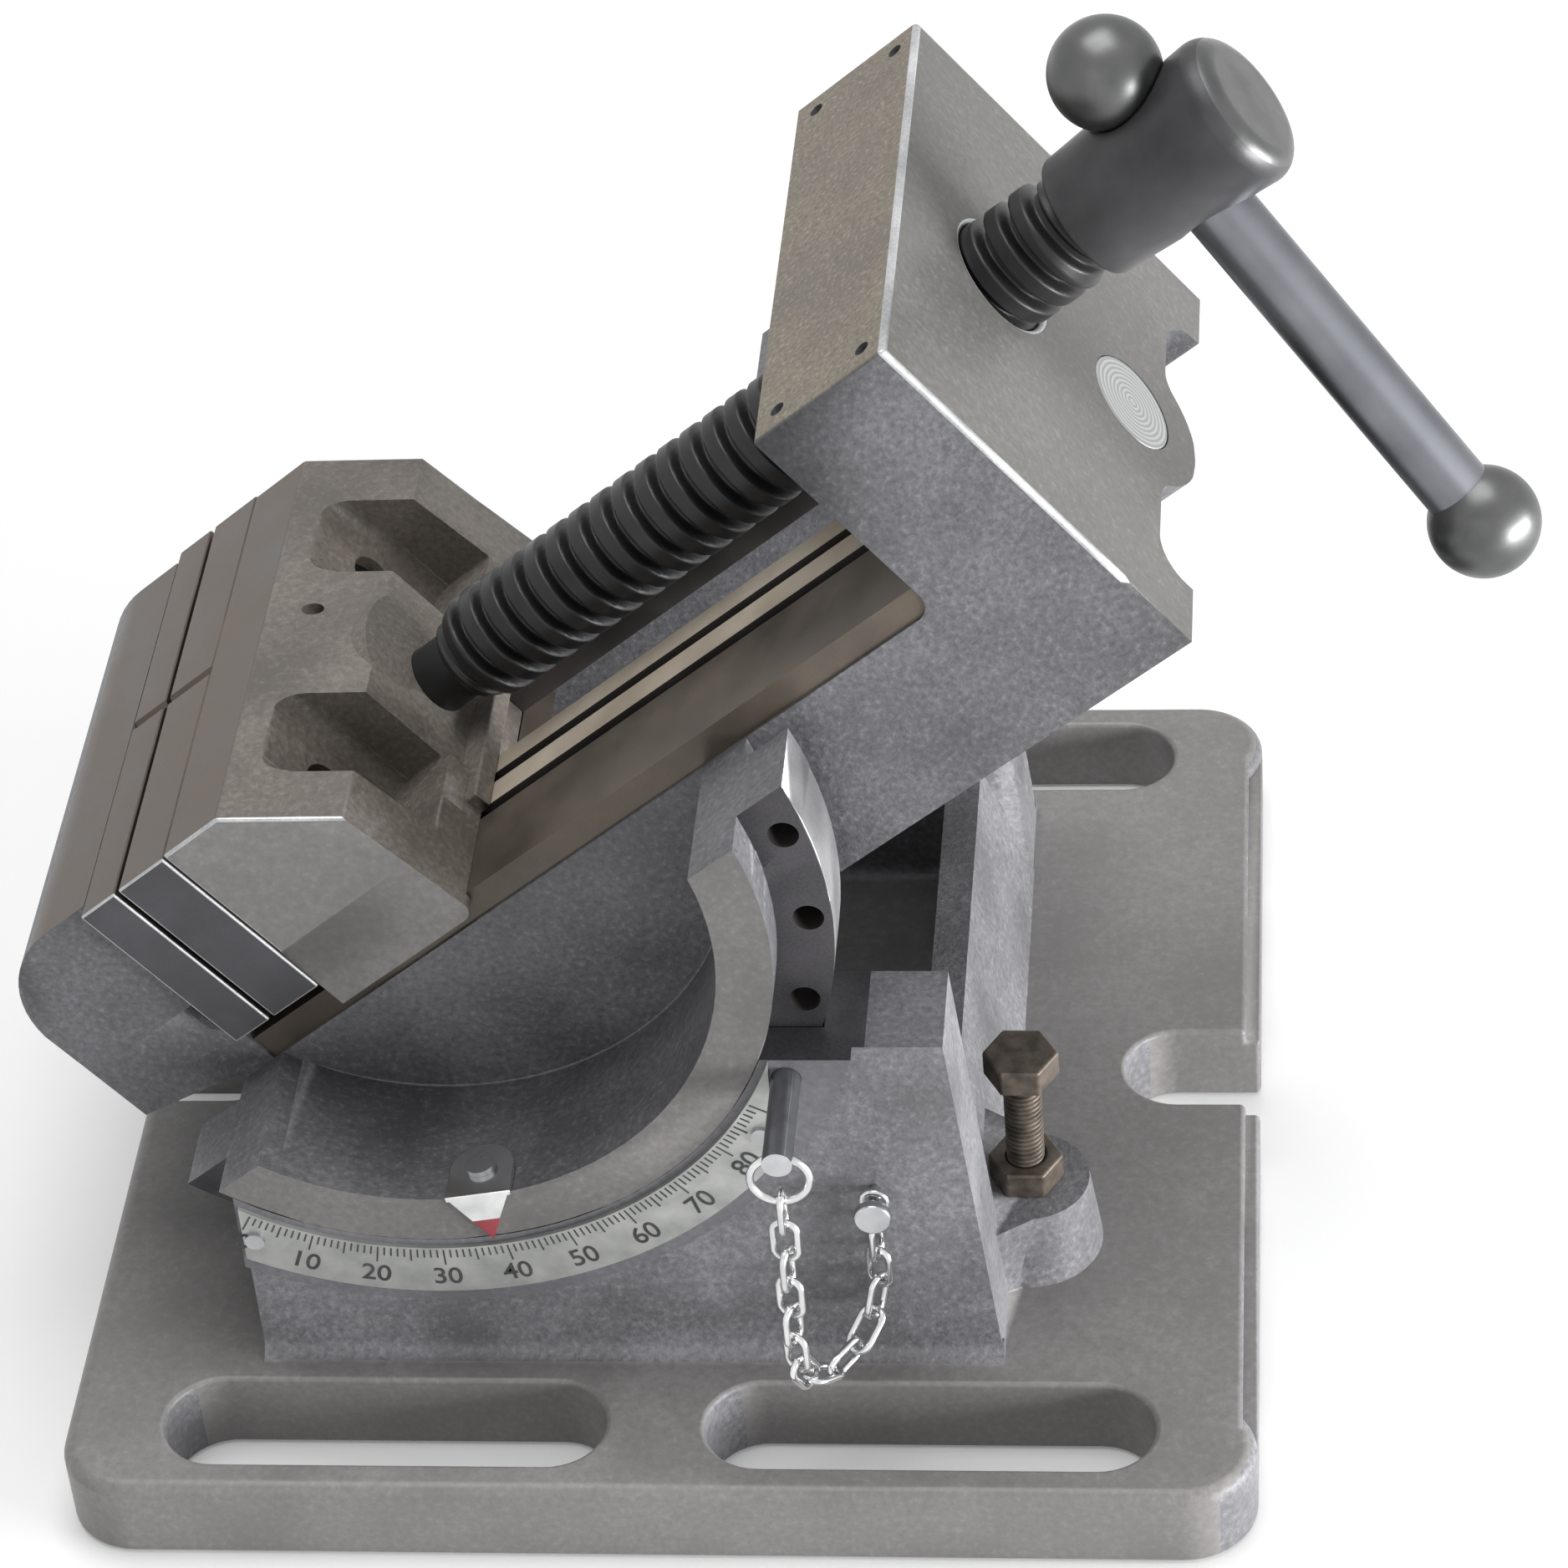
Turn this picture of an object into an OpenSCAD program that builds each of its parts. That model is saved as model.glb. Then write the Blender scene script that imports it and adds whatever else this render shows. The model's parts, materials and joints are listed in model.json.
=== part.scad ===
// Tilting bench vise: a screw vise that swings on trunnion rings in a slotted cradle base.
// Millimetres, +Z up, X along the vise, origin at the centre of the base's underside.

/* [Base plate] */
// Length of the base along X
base_l = 196; // [184:1:230]
// Width of the base along Y
base_w = 203; // [196:1:230]
// Thickness of the base plate
base_t = 15; // [12:0.5:18]
// Radius of the plate's corners
base_corner_r = 12; // [6:0.5:16]
// Length of a bolt slot, end to end
slot_l = 73.4; // [60:0.2:76]
// Width of a bolt slot
slot_w = 18.6; // [14:0.2:20]
// Metal between the two slots of a row
slot_gap = 16.3; // [12:0.1:24]
// Radius of the plate's upper edge
base_edge_r = 2.5; // [1:0.5:4]
// Distance of a slot's centre line from the plate's edge
slot_inset = 15.5; // [14:0.1:18]
// Width of the open slot in each end
end_slot_w = 18; // [14:0.5:22]
// Depth of the open slot in each end
end_slot_d = 23.4; // [16:0.2:28]

/* [Cradle] */
// Distance of the tilt axis behind the middle of the base
axis_back = 35.3; // [32:0.1:38]
// Height of the tilt axis
axis_z = 103.8; // [101:0.1:108]
// Tilt of the vise as drawn, in degrees
tilt_angle = 39; // [0:1:60]
// Thickness of a cheek
cheek_t = 18; // [16:0.5:20]
// Height of the cheeks' flat top
cheek_top_z = 83.5; // [83:0.1:86]
// Distance of the cheeks' rear cut from the tilt axis
cheek_rear = 31.7; // [28:0.1:36]
// Distance of the cheeks' front top edge from the tilt axis
cheek_front = 84.8; // [80:0.1:90]
// Spread of a cheek's front edge from its top to the plate
cheek_draft = 7; // [4:0.5:9]
// Radius of the fillet at a cheek's foot
cheek_foot_r = 3; // [2:0.5:4]
// Width of the raised lip outside the ring
lip_w = 13.7; // [12:0.1:16]
// Height of the lip above the cheek's face
lip_proud = 3; // [2:0.1:4]
// Height of the front end wall above the plate
end_wall_h = 25; // [18:0.5:32]
// Thickness of the front end wall at its top
end_wall_t = 6; // [4:0.5:8]
// Spread of the end wall's outer face from top to foot
end_wall_draft = 9; // [5:0.5:12]
// Height of the low rear wall above the plate
rear_wall_h = 8; // [5:0.5:9]
// Thickness of the low rear wall
rear_wall_t = 9; // [6:0.5:12]
// Distance of the end wall's top edge ahead of the tilt axis
end_wall_front = 83.3; // [80:0.1:86]

/* [Stop bolt] */
// Distance of the stop bolt ahead of the tilt axis
stop_front = 94.8; // [94:0.1:98]
// Distance of the stop bolt from the middle plane
stop_side = 42; // [39:0.5:43]
// Diameter of the boss at its foot
stop_boss_d = 25; // [22:0.5:28]
// Diameter of the boss at its top
stop_boss_top_d = 21; // [18:0.5:24]
// Distance of the boss's straight flanks inside its round top
stop_flank_in = 1; // [0.5:0.1:2]
// Height of the boss above the plate
stop_boss_h = 14; // [10:0.5:16]
// Half width of the boss's root at the end wall
stop_root = 19; // [14:0.5:20]
// Diameter of the stop bolt's shank
stop_bolt_d = 6.4; // [5:0.1:8]
// Width across the flats of bolt head and nut
stop_hex_w = 11; // [10:0.1:13]
// Height of the bolt's head
stop_head_h = 5; // [4:0.1:6]
// Height of the lock nut
stop_nut_h = 5; // [4:0.1:6]
// Depth of the bolt in the boss
stop_bolt_depth = 12; // [8:0.5:13]
// Travel of the bolt down into the boss
stop_travel = 12; // [8:0.5:13]

/* [Trunnion] */
// Outer radius of the trunnion ring
ring_r = 59.7; // [58:0.1:60]
// Radial width of the trunnion ring
ring_w = 8.9; // [8:0.1:10]
// Outer radius of the index flange
flange_r = 68.7; // [68:0.1:69.5]
// Thickness of the index flange
flange_t = 14; // [12:0.1:15]
// Distance from the body's side to the flange
flange_gap = 5; // [4:0.1:7]
// Length of the ring ahead of the flange
ring_nose = 8; // [7:0.1:9]
// Drop of the ring's cut ends below the axis
chord_drop = 17; // [15:0.5:20]

/* [Index pin] */
// Radius of the circle of index holes
index_r = 64.9; // [64:0.1:65.5]
// Diameter of the index pin
pin_d = 4.8; // [4:0.1:5]
// Length of the index pin
pin_l = 27; // [24:0.5:32]
// Angle of the pin from straight down
pin_angle = 68; // [66:0.5:68]
// Angle between index holes
index_step = 15; // [12:1:15]
// Number of index holes
index_count = 7; // [5:1:7]
// Diameter of the pin's ring wire
pin_ring_wire = 1.3; // [1:0.1:1.6]
// Inner diameter of the pin's ring
pin_ring_d = 8; // [7:0.1:9]

/* [Scale and pointer] */
// Distance of the scale's inner edge outside the ring
scale_in = 1.3; // [0.8:0.1:2]
// Radial width of the scale
scale_w = 9.7; // [8:0.1:10.5]
// Thickness of the scale
scale_t = 0.8; // [0.5:0.1:1.2]
// Reach of the scale ahead of the axis
scale_front = 57.5; // [54:0.5:58]
// Reach of the scale behind the axis
scale_rear = 31; // [26:0.5:31.5]
// Diameter of a scale rivet
scale_rivet_d = 2; // [1.5:0.1:2.5]
// Head diameter of a scale rivet
scale_rivet_head_d = 3.2; // [2.8:0.1:4]
// Angle of the pointer from the body's downward line
pointer_angle = -29; // [-34:1:-24]
// Width of the pointer's tab
pointer_w = 11; // [9:0.5:12]
// Thickness of the pointer
pointer_t = 1; // [0.8:0.1:1.4]
// Length of the pointer's tab along the ring
pointer_tab = 11; // [9:0.5:13]
// Diameter of the pointer rivet
pointer_rivet_d = 3; // [2.5:0.1:3.5]
// Head diameter of the pointer rivet
pointer_rivet_head_d = 5; // [4.5:0.1:6]

/* [Vise body] */
// Width of the body and the end block
body_w = 92; // [88:1:94]
// Depth of the body below the axis
body_depth = 46.5; // [45:0.5:48]
// Thickness of the side walls
wall_t = 13; // [10:0.5:15]
// Drop of the rail tops below the axis
rail_drop = 12; // [11.5:0.1:13]
// Thickness of the rails
rail_t = 8; // [7:0.5:10]
// Gap between the rails
rail_gap = 24; // [20:0.5:26]
// Depth of the ground band down a rail's side
band_d = 0.5; // [0.3:0.1:1]
// Radius at the band's end
band_r = 3.5; // [2:0.5:4.5]
// Width of an oil groove in a rail
groove_w = 2.6; // [2:0.1:3.2]
// Depth of an oil groove
groove_d = 1.4; // [1:0.1:2]
// Distance from a rail's inner edge to its first groove
groove_in = 4.6; // [3.5:0.1:6]
// Width of the strip between the grooves
groove_pitch = 8; // [6:0.5:9]
// Distance of the end block ahead of the axis
block_u = 96.5; // [94:0.5:100]
// Thickness of the end block
block_t = 26; // [22:0.5:30]
// Height of the end block above the axis
block_top = 23.5; // [20:0.5:26]
// Height of the arches in the end block's lower edge
arch_h = 8; // [6:0.5:10]
// Radius of the arches' corners
arch_r = 6; // [4:0.5:7]
// Radius of the boss round the plug
plug_boss_r = 15.5; // [14:0.5:16]
// Diameter of the end plug
plug_d = 17.5; // [14:0.5:20]
// Depth of the end plug
plug_depth = 12; // [8:0.5:16]
// Diameter of a plate-rivet hole in the block's top
rivet_hole_d = 2.6; // [2:0.1:3]
// Depth of a plate-rivet hole
rivet_hole_depth = 5; // [3:0.5:8]
// Distance of the rivet holes from the block's edges
rivet_inset = 4.5; // [3.5:0.1:6]

/* [Jaws] */
// Height of the jaws above the axis
jaw_top = 25.8; // [24:0.1:28]
// Width of the jaw plates
jaw_w = 98; // [96:1:102]
// Distance of the fixed jaw's face behind the axis
jaw_face_u = 42; // [41:0.5:44]
// Gap between the jaws as drawn
jaw_gap = 1; // [1:0.1:8]
// Thickness of the fixed jaw plate
fixed_plate_t = 8; // [7:0.1:9]
// Thickness of the moving jaw plate
moving_plate_t = 10.6; // [9:0.1:11]
// Gap below the jaw plates
plate_gap = 3; // [2:0.1:4]
// Thickness of the fixed jaw's casting
fixed_jaw_t = 26.5; // [25:0.5:28]
// Radius of the fixed jaw's rear edge
fixed_round = 17; // [10:0.5:20]
// Rise of the fixed jaw's underside toward its rear
fixed_rise = 5; // [2:0.5:8]
// Size of the groove in the middle of a jaw plate's top edge
jaw_notch = 1.6; // [1:0.1:2.4]
// Depth of a screw head's seat in the fixed jaw
fixed_head_depth = 10; // [8:0.5:12]
// Depth of a jaw plate screw in its plate
jaw_screw_bite = 6; // [4:0.5:6.5]
// Step from a jaw plate's end to the moving jaw's side
moving_step = 0.5; // [0:0.1:2]
// Depth of the moving jaw's skirts down the rails' sides
skirt_h = 2.4; // [1:0.1:2.6]
// Length of the moving jaw's casting
moving_jaw_l = 30.6; // [29:0.2:33]
// Length of the moving jaw's ground top
moving_flat = 12.4; // [11:0.2:13]
// Lean of the moving jaw's rear face
moving_slant = 2; // [1:0.2:3]
// Height of the moving jaw's rear edge above the axis
moving_rear_v = 13; // [11:0.5:15]
// Radius of the screw boss on the moving jaw
nose_boss_r = 16.5; // [15:0.5:18]
// Distance from the boss's end to the moving jaw's rear
nose_boss_in = 2.7; // [1:0.1:4]
// Length of the foot past the moving jaw's rear
foot_l = 2.1; // [1:0.1:4]
// Width of the foot between the rails' outer strips
foot_w = 51; // [46:1:56]
// Height of the foot
foot_h = 3.5; // [2.5:0.1:5]
// Width of a pocket beside the boss
pocket_w = 19.8; // [16:0.2:22]
// Wall left behind a pocket
pocket_wall = 16.4; // [15:0.2:18]
// Height of a pocket's floor below the axis
pocket_floor = 4; // [3:0.5:6]
// Radius of a pocket's corners
pocket_r = 4; // [2:0.5:6]
// Metal under the head of a moving jaw screw
moving_head_seat = 9; // [7:0.5:10]
// Distance of a jaw plate screw from the middle plane
jaw_screw_y = 28; // [26:0.5:29]
// Height of the jaw plate screws above the axis
jaw_screw_v = 9; // [8:0.5:10]
// Shank diameter of a jaw plate screw
jaw_screw_d = 5; // [4:0.5:6]
// Head diameter of a jaw plate screw
jaw_head_d = 9; // [8:0.5:10]
// Head height of a jaw plate screw
jaw_head_h = 5; // [4:0.5:6]
// Width of the hexagon socket in a screw head
socket_w = 4; // [3:0.5:5]
// Depth of the hexagon socket
socket_d = 2.5; // [2:0.1:3]

/* [Keeper] */
// Thickness of the keeper plate under the rails
keeper_t = 6; // [5:0.5:7]
// Width of the keeper plate
keeper_w = 46; // [40:1:50]
// Length of the keeper plate
keeper_l = 22; // [20:1:24]
// Diameter of a keeper screw
keeper_screw_d = 5; // [4:0.5:6]
// Head diameter of a keeper screw
keeper_head_d = 8.5; // [7.5:0.5:10]
// Distance between the keeper screws
keeper_pitch = 12; // [11:0.5:13]
// Depth of a keeper screw in the jaw
keeper_screw_depth = 9; // [7:0.5:10]

/* [Lead screw and handle] */
// Outer diameter of the thread
screw_d = 19; // [17:0.5:20]
// Length of the threaded part
screw_l = 135; // [130:1:140]
// Diameter of the nose in the moving jaw
nose_d = 12; // [11:0.5:13]
// Length of the nose
nose_l = 22; // [20:0.5:24]
// Length of the nose that shows between boss and thread
nose_show = 7; // [5:0.5:9]
// Diameter of the pin that holds the nose
nose_pin_d = 3; // [2.5:0.1:3.5]
// Distance of the pin from the boss's end
nose_pin_in = 9.5; // [8:0.5:11]
// Diameter of the head at its end
head_d = 25; // [23:0.5:28]
// Diameter of the head at the thread
head_neck_d = 21; // [20:0.5:23]
// Length of the head
head_l = 33; // [30:0.5:36]
// Radius of the head's rounded end
head_round = 4; // [3:0.5:6]
// Diameter of the tommy bar
bar_d = 11; // [9:0.5:12]
// Distance of the bar from the head's thread end
bar_along = 17.5; // [15:0.5:20]
// Distance of a ball's centre from the screw's axis when it sits in the head
ball_seat = 16.3; // [15.5:0.1:19]
// Distance between the balls' centres
bar_span = 93; // [84:1:120]
// Lean of the bar from upright, in degrees
bar_lean = 11.6; // [0:0.1:20]
// Diameter of a ball
ball_d = 17.8; // [16:0.1:20]

/* [Safety chain] */
// Diameter of the chain's wire
chain_wire = 1.2; // [1:0.1:1.3]
// Inner length of a link
link_l = 6.6; // [6.4:0.1:7]
// Inner width of a link
link_w = 2.8; // [2.6:0.1:3]
// Height of the chain's lowest point above the plate
chain_low = 10; // [4:0.5:12]
// Distance of the anchor screw ahead of the axis
anchor_front = 72.5; // [70:0.5:75]
// Height of the anchor screw
anchor_z = 53; // [52:0.5:56]
// Head diameter of the anchor screw
anchor_head_d = 6; // [5:0.5:7]
// Shank diameter of the anchor screw
anchor_d = 1.8; // [1.6:0.1:2]

/* [Fits] */
// Radial clearance of a running fit
run_clear = 0.06; // [0.03:0.01:0.1]
// Clearance between faces that pass each other
side_clear = 0.3; // [0.2:0.05:0.5]
// Clearance of a seated or screwed piece
seat_clear = 0.02; // [0.01:0.01:0.04]

/* [Hidden] */
$fn = 48;
// Overshoot of a cut past the face it opens
over = 1;
axis_x = -axis_back;
body_half = body_w / 2;
// Places across the trunnion, measured from the middle plane
flange_y = body_half + flange_gap;
shoulder_y = flange_y + flange_t + side_clear;
face_y = flange_y + flange_t + ring_nose;
cheek_out_y = face_y - lip_proud;
cheek_in_y = cheek_out_y - cheek_t;
lip_r = ring_r + lip_w;
bore_r = ring_r + run_clear;
counterbore_r = flange_r + side_clear;
hole_d = pin_d + 2 * run_clear;
// Places of the jaws and rails along the vise
rail_v = -rail_drop;
fixed_seat_u = -jaw_face_u - fixed_plate_t;
fixed_rear_u = fixed_seat_u - fixed_jaw_t;
moving_face_u = -jaw_face_u + jaw_gap;
moving_seat_u = moving_face_u + moving_plate_t;
moving_end_u = moving_seat_u + moving_jaw_l;
boss_end_u = moving_end_u - nose_boss_in;
plate_bottom_v = rail_v + plate_gap;
moving_bottom_v = rail_v + run_clear;
fixed_head_u = fixed_rear_u + fixed_head_depth;
pocket_u = moving_seat_u + pocket_wall;
moving_head_u = moving_seat_u + moving_head_seat;
moving_jaw_w = jaw_w - 2 * moving_step;
tongue_w = rail_gap - 2 * side_clear;
tongue_u = (moving_seat_u + moving_end_u - keeper_l) / 2;
keeper_top_v = rail_v - rail_t - run_clear;
block_end_u = block_u + block_t;
plug_v = -body_depth + plug_boss_r;
// Places of the lead screw and the bar
thread_u = boss_end_u + nose_show;
head_u = thread_u + screw_l;
bar_u = head_u + bar_along;
bar_bore_d = bar_d + 2 * run_clear;
nose_bore_d = nose_d + 2 * run_clear;
nose_pin_u = boss_end_u - nose_pin_in;
nose_pin_y = nose_d / 2;
nose_pin_v = rail_v + nose_pin_d;
// Place of the pointer's tab, whose edges just clear the ring's inner face
pointer_r = sqrt(pow(ring_r - ring_w, 2) - pow(pointer_w / 2, 2)) - seat_clear;
pointer_rivet_y = -face_y + pointer_tab / 2;
// Place of the index pin on the front lip
pin_x = axis_x + index_r * sin(pin_angle);
pin_z = axis_z - index_r * cos(pin_angle);
pin_tip_y = -shoulder_y - side_clear;
pin_end_y = pin_tip_y - pin_l;
pin_eye_y = pin_end_y + pin_ring_wire + 2 * side_clear;
pin_eye_d = pin_ring_wire + 2 * side_clear;
pin_ring_r = (pin_ring_d + pin_ring_wire) / 2;
pin_ring_z = pin_z - pin_ring_r;
anchor_x = axis_x + anchor_front;
// Place of the stop bolt, whose head meets the body's underside when the vise lies level
stop_x = axis_x + stop_front;
stop_head_top = axis_z - body_depth - side_clear;
stop_boss_z = base_t + stop_boss_h;
// The chain hangs from the pin's ring, turns in a half circle over the plate and rises to the anchor screw
chain_pitch = link_l - side_clear;
link_out_w = link_w + 2 * chain_wire;
anchor_reach = link_out_w + 2 * side_clear;
chain_start = [pin_x, pin_eye_y, pin_ring_z - pin_ring_r + (pin_ring_wire + side_clear) / 2];
chain_end = [anchor_x, -cheek_out_y - anchor_reach / 2, anchor_z + (anchor_d + side_clear) / 2];
chain_across = [chain_end[0] - chain_start[0], chain_end[1] - chain_start[1]];
chain_bearing = atan2(chain_across[1], chain_across[0]);
chain_turn_r = norm(chain_across) / 2;
chain_turn_z = base_t + chain_low + chain_turn_r;
chain_fall = chain_start[2] - chain_turn_z;
chain_turn = PI * chain_turn_r;
chain_rise = chain_end[2] - chain_turn_z;
chain_len = chain_fall + chain_turn + chain_rise;
// An even number of links, so that the last one lies across the anchor screw
link_count = 2 * ceil(chain_len / (2 * chain_pitch));
link_step = chain_len / link_count;

// How far the chain has swung across, and its height, at a length s from the pin's ring
function chain_swing(s) = 180 * min(max((s - chain_fall) / chain_turn, 0), 1);
function chain_out(s) = chain_turn_r * (1 - cos(chain_swing(s)));
function chain_height(s) = chain_turn_z - chain_turn_r * sin(chain_swing(s))
    + max(chain_fall - s, 0) + max(s - chain_fall - chain_turn, 0);
// Twist of a link on its own length, which squares the end links to the ring and the anchor screw
function chain_twist(s) = (90 - chain_bearing)
    * (max(s - chain_fall - chain_turn, 0) / chain_rise - max(chain_fall - s, 0) / chain_fall);

paint = "#77787a";
ground = "#9a9184";
steel = "#b9bbbd";
black = "#3a3a3b";

// Stands the children in the tilted vise's own frame: X along the screw, Z up, origin on the tilt axis
module in_vise() {
    translate([axis_x, 0, axis_z]) rotate([0, -tilt_angle, 0]) children();
}

// Extrudes an outline drawn in X and Z from y0 to y1
module side_extrude(y0, y1) {
    translate([0, y1, 0]) rotate([90, 0, 0]) linear_extrude(y1 - y0) children();
}

// Extrudes an outline drawn in Y and Z from x0 to x1
module end_extrude(x0, x1) {
    translate([x0, 0, 0]) rotate([90, 0, 90]) linear_extrude(x1 - x0) children();
}

// Draws the children on both sides of the middle plane
module both_sides() {
    children();
    mirror([0, 1, 0]) children();
}

// A cylinder along X
module rod_x(x0, x1, d) {
    translate([x0, 0, 0]) rotate([0, 90, 0]) cylinder(h = x1 - x0, d = d);
}

// A cylinder along Y
module rod_y(y0, y1, d) {
    translate([0, y1, 0]) rotate([90, 0, 0]) cylinder(h = y1 - y0, d = d);
}

// A plain slot outline with round ends
module slot_outline(l, w) {
    square([l - w, w], center = true);
    for (side = [-1, 1]) translate([side * (l - w) / 2, 0]) circle(d = w);
}

// A rectangle with rounded corners, centred
module rounded_outline(l, w, r) {
    square([l - 2 * r, w], center = true);
    square([l, w - 2 * r], center = true);
    for (x = [-1, 1], y = [-1, 1]) translate([x * (l / 2 - r), y * (w / 2 - r)]) circle(r = r);
}

// A hexagon across its flats
module hexagon(w) {
    circle(d = w / cos(30), $fn = 6);
}

// The base plate with its rounded upper edge, four bolt slots and two open end slots
module base_plate() {
    slot_x = (slot_gap + slot_l) / 2;
    slot_y = base_w / 2 - slot_inset;
    difference() {
        plate_blank();
        for (x = [-1, 1], y = [-1, 1]) translate([x * slot_x, y * slot_y, -over])
            linear_extrude(base_t + 2 * over) slot_outline(slot_l, slot_w);
        for (x = [-1, 1]) translate([x * base_l / 2, 0, -over])
            linear_extrude(base_t + 2 * over) slot_outline(2 * end_slot_d, end_slot_w);
    }
}

// The plate before its slots are cut: rolled edges run along the sides and turn round the corners
module plate_blank() {
    roll_z = base_t - base_edge_r;
    side_x = base_l / 2 - base_corner_r;
    side_y = base_w / 2 - base_corner_r;
    linear_extrude(roll_z) rounded_outline(base_l, base_w, base_corner_r);
    linear_extrude(base_t)
        rounded_outline(base_l - 2 * base_edge_r, base_w - 2 * base_edge_r, base_corner_r - base_edge_r);
    for (y = [-1, 1]) translate([0, y * (base_w / 2 - base_edge_r), roll_z])
        rod_x(-side_x, side_x, 2 * base_edge_r);
    for (x = [-1, 1]) translate([x * (base_l / 2 - base_edge_r), 0, roll_z])
        rod_y(-side_y, side_y, 2 * base_edge_r);
    for (x = [-1, 1], y = [-1, 1]) translate([x * side_x, y * side_y, roll_z])
        rotate_extrude() translate([base_corner_r - base_edge_r, 0]) circle(r = base_edge_r);
}

// Outline of a cheek seen from the side, before the cradle is bored
module cheek_outline() {
    polygon([[axis_x - cheek_rear, base_t - over], [axis_x - cheek_rear, cheek_top_z],
        [axis_x + cheek_front, cheek_top_z], [axis_x + cheek_front + cheek_draft, base_t - over]]);
}

// One cheek with its raised lip, bored for the ring and counterbored for the flange
module cheek() {
    difference() {
        union() {
            side_extrude(-cheek_out_y, -cheek_in_y) cheek_outline();
            intersection() {
                side_extrude(-face_y, -cheek_in_y) cheek_outline();
                translate([axis_x, 0, axis_z]) rod_y(-face_y, -cheek_in_y, 2 * lip_r);
            }
            cheek_foot();
        }
        translate([axis_x, 0, axis_z]) {
            rod_y(-face_y - over, -cheek_in_y + over, 2 * bore_r);
            rod_y(-shoulder_y, -cheek_in_y + over, 2 * counterbore_r);
        }
    }
}

// The fillet along the outside of a cheek's foot
module cheek_foot() {
    end_extrude(axis_x - cheek_rear, axis_x + cheek_front + cheek_draft) difference() {
        translate([-cheek_out_y - cheek_foot_r, base_t - over]) square(cheek_foot_r + over);
        translate([-cheek_out_y - cheek_foot_r, base_t + cheek_foot_r]) circle(r = cheek_foot_r);
    }
}

// The end wall that ties the cheeks together at the front
module end_wall() {
    top_x = axis_x + end_wall_front;
    side_extrude(-cheek_in_y - over, cheek_in_y + over) polygon([[top_x - end_wall_t, base_t - over],
        [top_x - end_wall_t, base_t + end_wall_h], [top_x, base_t + end_wall_h],
        [top_x + end_wall_draft, base_t - over]]);
}

// The low wall that ties the cheeks together at the rear
module rear_wall() {
    translate([axis_x - cheek_rear, -cheek_in_y - over, base_t - over])
        cube([rear_wall_t, 2 * (cheek_in_y + over), rear_wall_h + over]);
}

// The boss under the stop bolt, whose flanks run from the end wall to the round
module stop_boss() {
    round_r = stop_boss_top_d / 2 - stop_flank_in;
    root_x = axis_x + end_wall_front - stop_x;
    far = norm([root_x, stop_root]);
    turn = atan2(stop_root, -root_x) - asin(round_r / far);
    run = sqrt(pow(far, 2) - pow(round_r, 2));
    touch = [root_x + run * cos(turn), run * sin(turn) - stop_root];
    cylinder(h = stop_boss_h + over, d1 = stop_boss_d, d2 = stop_boss_top_d);
    linear_extrude(stop_boss_h + over) polygon([[root_x - end_wall_t, -stop_root], [root_x, -stop_root],
        touch, [touch[0], -touch[1]], [root_x, stop_root], [root_x - end_wall_t, stop_root]]);
}

module base_casting() {
    color(paint) difference() {
        union() {
            base_plate();
            both_sides() cheek();
            end_wall();
            rear_wall();
            translate([stop_x, -stop_side, base_t - over]) stop_boss();
        }
        translate([stop_x, -stop_side, stop_boss_z - stop_bolt_depth - stop_travel - side_clear])
            cylinder(h = stop_bolt_depth + stop_travel + side_clear + over, d = stop_bolt_d + 2 * run_clear);
        translate([pin_x, 0, pin_z]) rod_y(-face_y - over, -shoulder_y + over, hole_d);
        scale_rivet_places()
            rod_y(-face_y - over, -shoulder_y - side_clear, scale_rivet_d + 2 * seat_clear);
        translate([anchor_x, 0, anchor_z])
            rod_y(-cheek_out_y - over, -cheek_out_y + cheek_t / 2, anchor_d + 2 * seat_clear);
    }
}

// Puts the children at the scale's two rivets
module scale_rivet_places() {
    mid_r = ring_r + scale_in + scale_w / 2;
    for (x = [scale_rivet_d - scale_rear, scale_front - scale_rivet_d])
        translate([axis_x + x, 0, axis_z - sqrt(pow(mid_r, 2) - pow(x, 2))]) children();
}

module scale_plate() {
    inner = ring_r + scale_in;
    color("#c9cac6") difference() {
        translate([axis_x, 0, axis_z]) intersection() {
            difference() {
                rod_y(-face_y - scale_t, -face_y, 2 * (inner + scale_w));
                rod_y(-face_y - scale_t - over, -face_y + over, 2 * inner);
            }
            translate([-scale_rear, -face_y - scale_t - over, -lip_r])
                cube([scale_rear + scale_front, scale_t + 2 * over, lip_r]);
        }
        scale_rivet_places()
            rod_y(-face_y - scale_t - over, -face_y + over, scale_rivet_d + 2 * seat_clear);
    }
}

module scale_rivets() {
    color(steel) scale_rivet_places() {
        rod_y(-face_y - scale_t, -shoulder_y - 2 * side_clear, scale_rivet_d);
        rod_y(-face_y - 2 * scale_t, -face_y - scale_t, scale_rivet_head_d);
    }
}

// Keeps what lies below the cut ends of the ring
module below_chord() {
    intersection() {
        children();
        translate([-2 * flange_r, -face_y - over, -2 * flange_r])
            cube([4 * flange_r, 2 * (face_y + over), 2 * flange_r - chord_drop]);
    }
}

// The ring and flange on one side, with the index holes
module trunnion(holes) {
    below_chord() difference() {
        union() {
            rod_y(-face_y, -body_half + over, 2 * ring_r);
            rod_y(-flange_y - flange_t, -flange_y, 2 * flange_r);
        }
        rod_y(-face_y - over, -body_half, 2 * (ring_r - ring_w));
        if (holes) for (i = [0 : index_count - 1]) rotate([0, i * index_step - pin_angle, 0])
            translate([0, 0, -index_r]) rod_y(-face_y - over, -flange_y + over, hole_d);
    }
}

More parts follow.
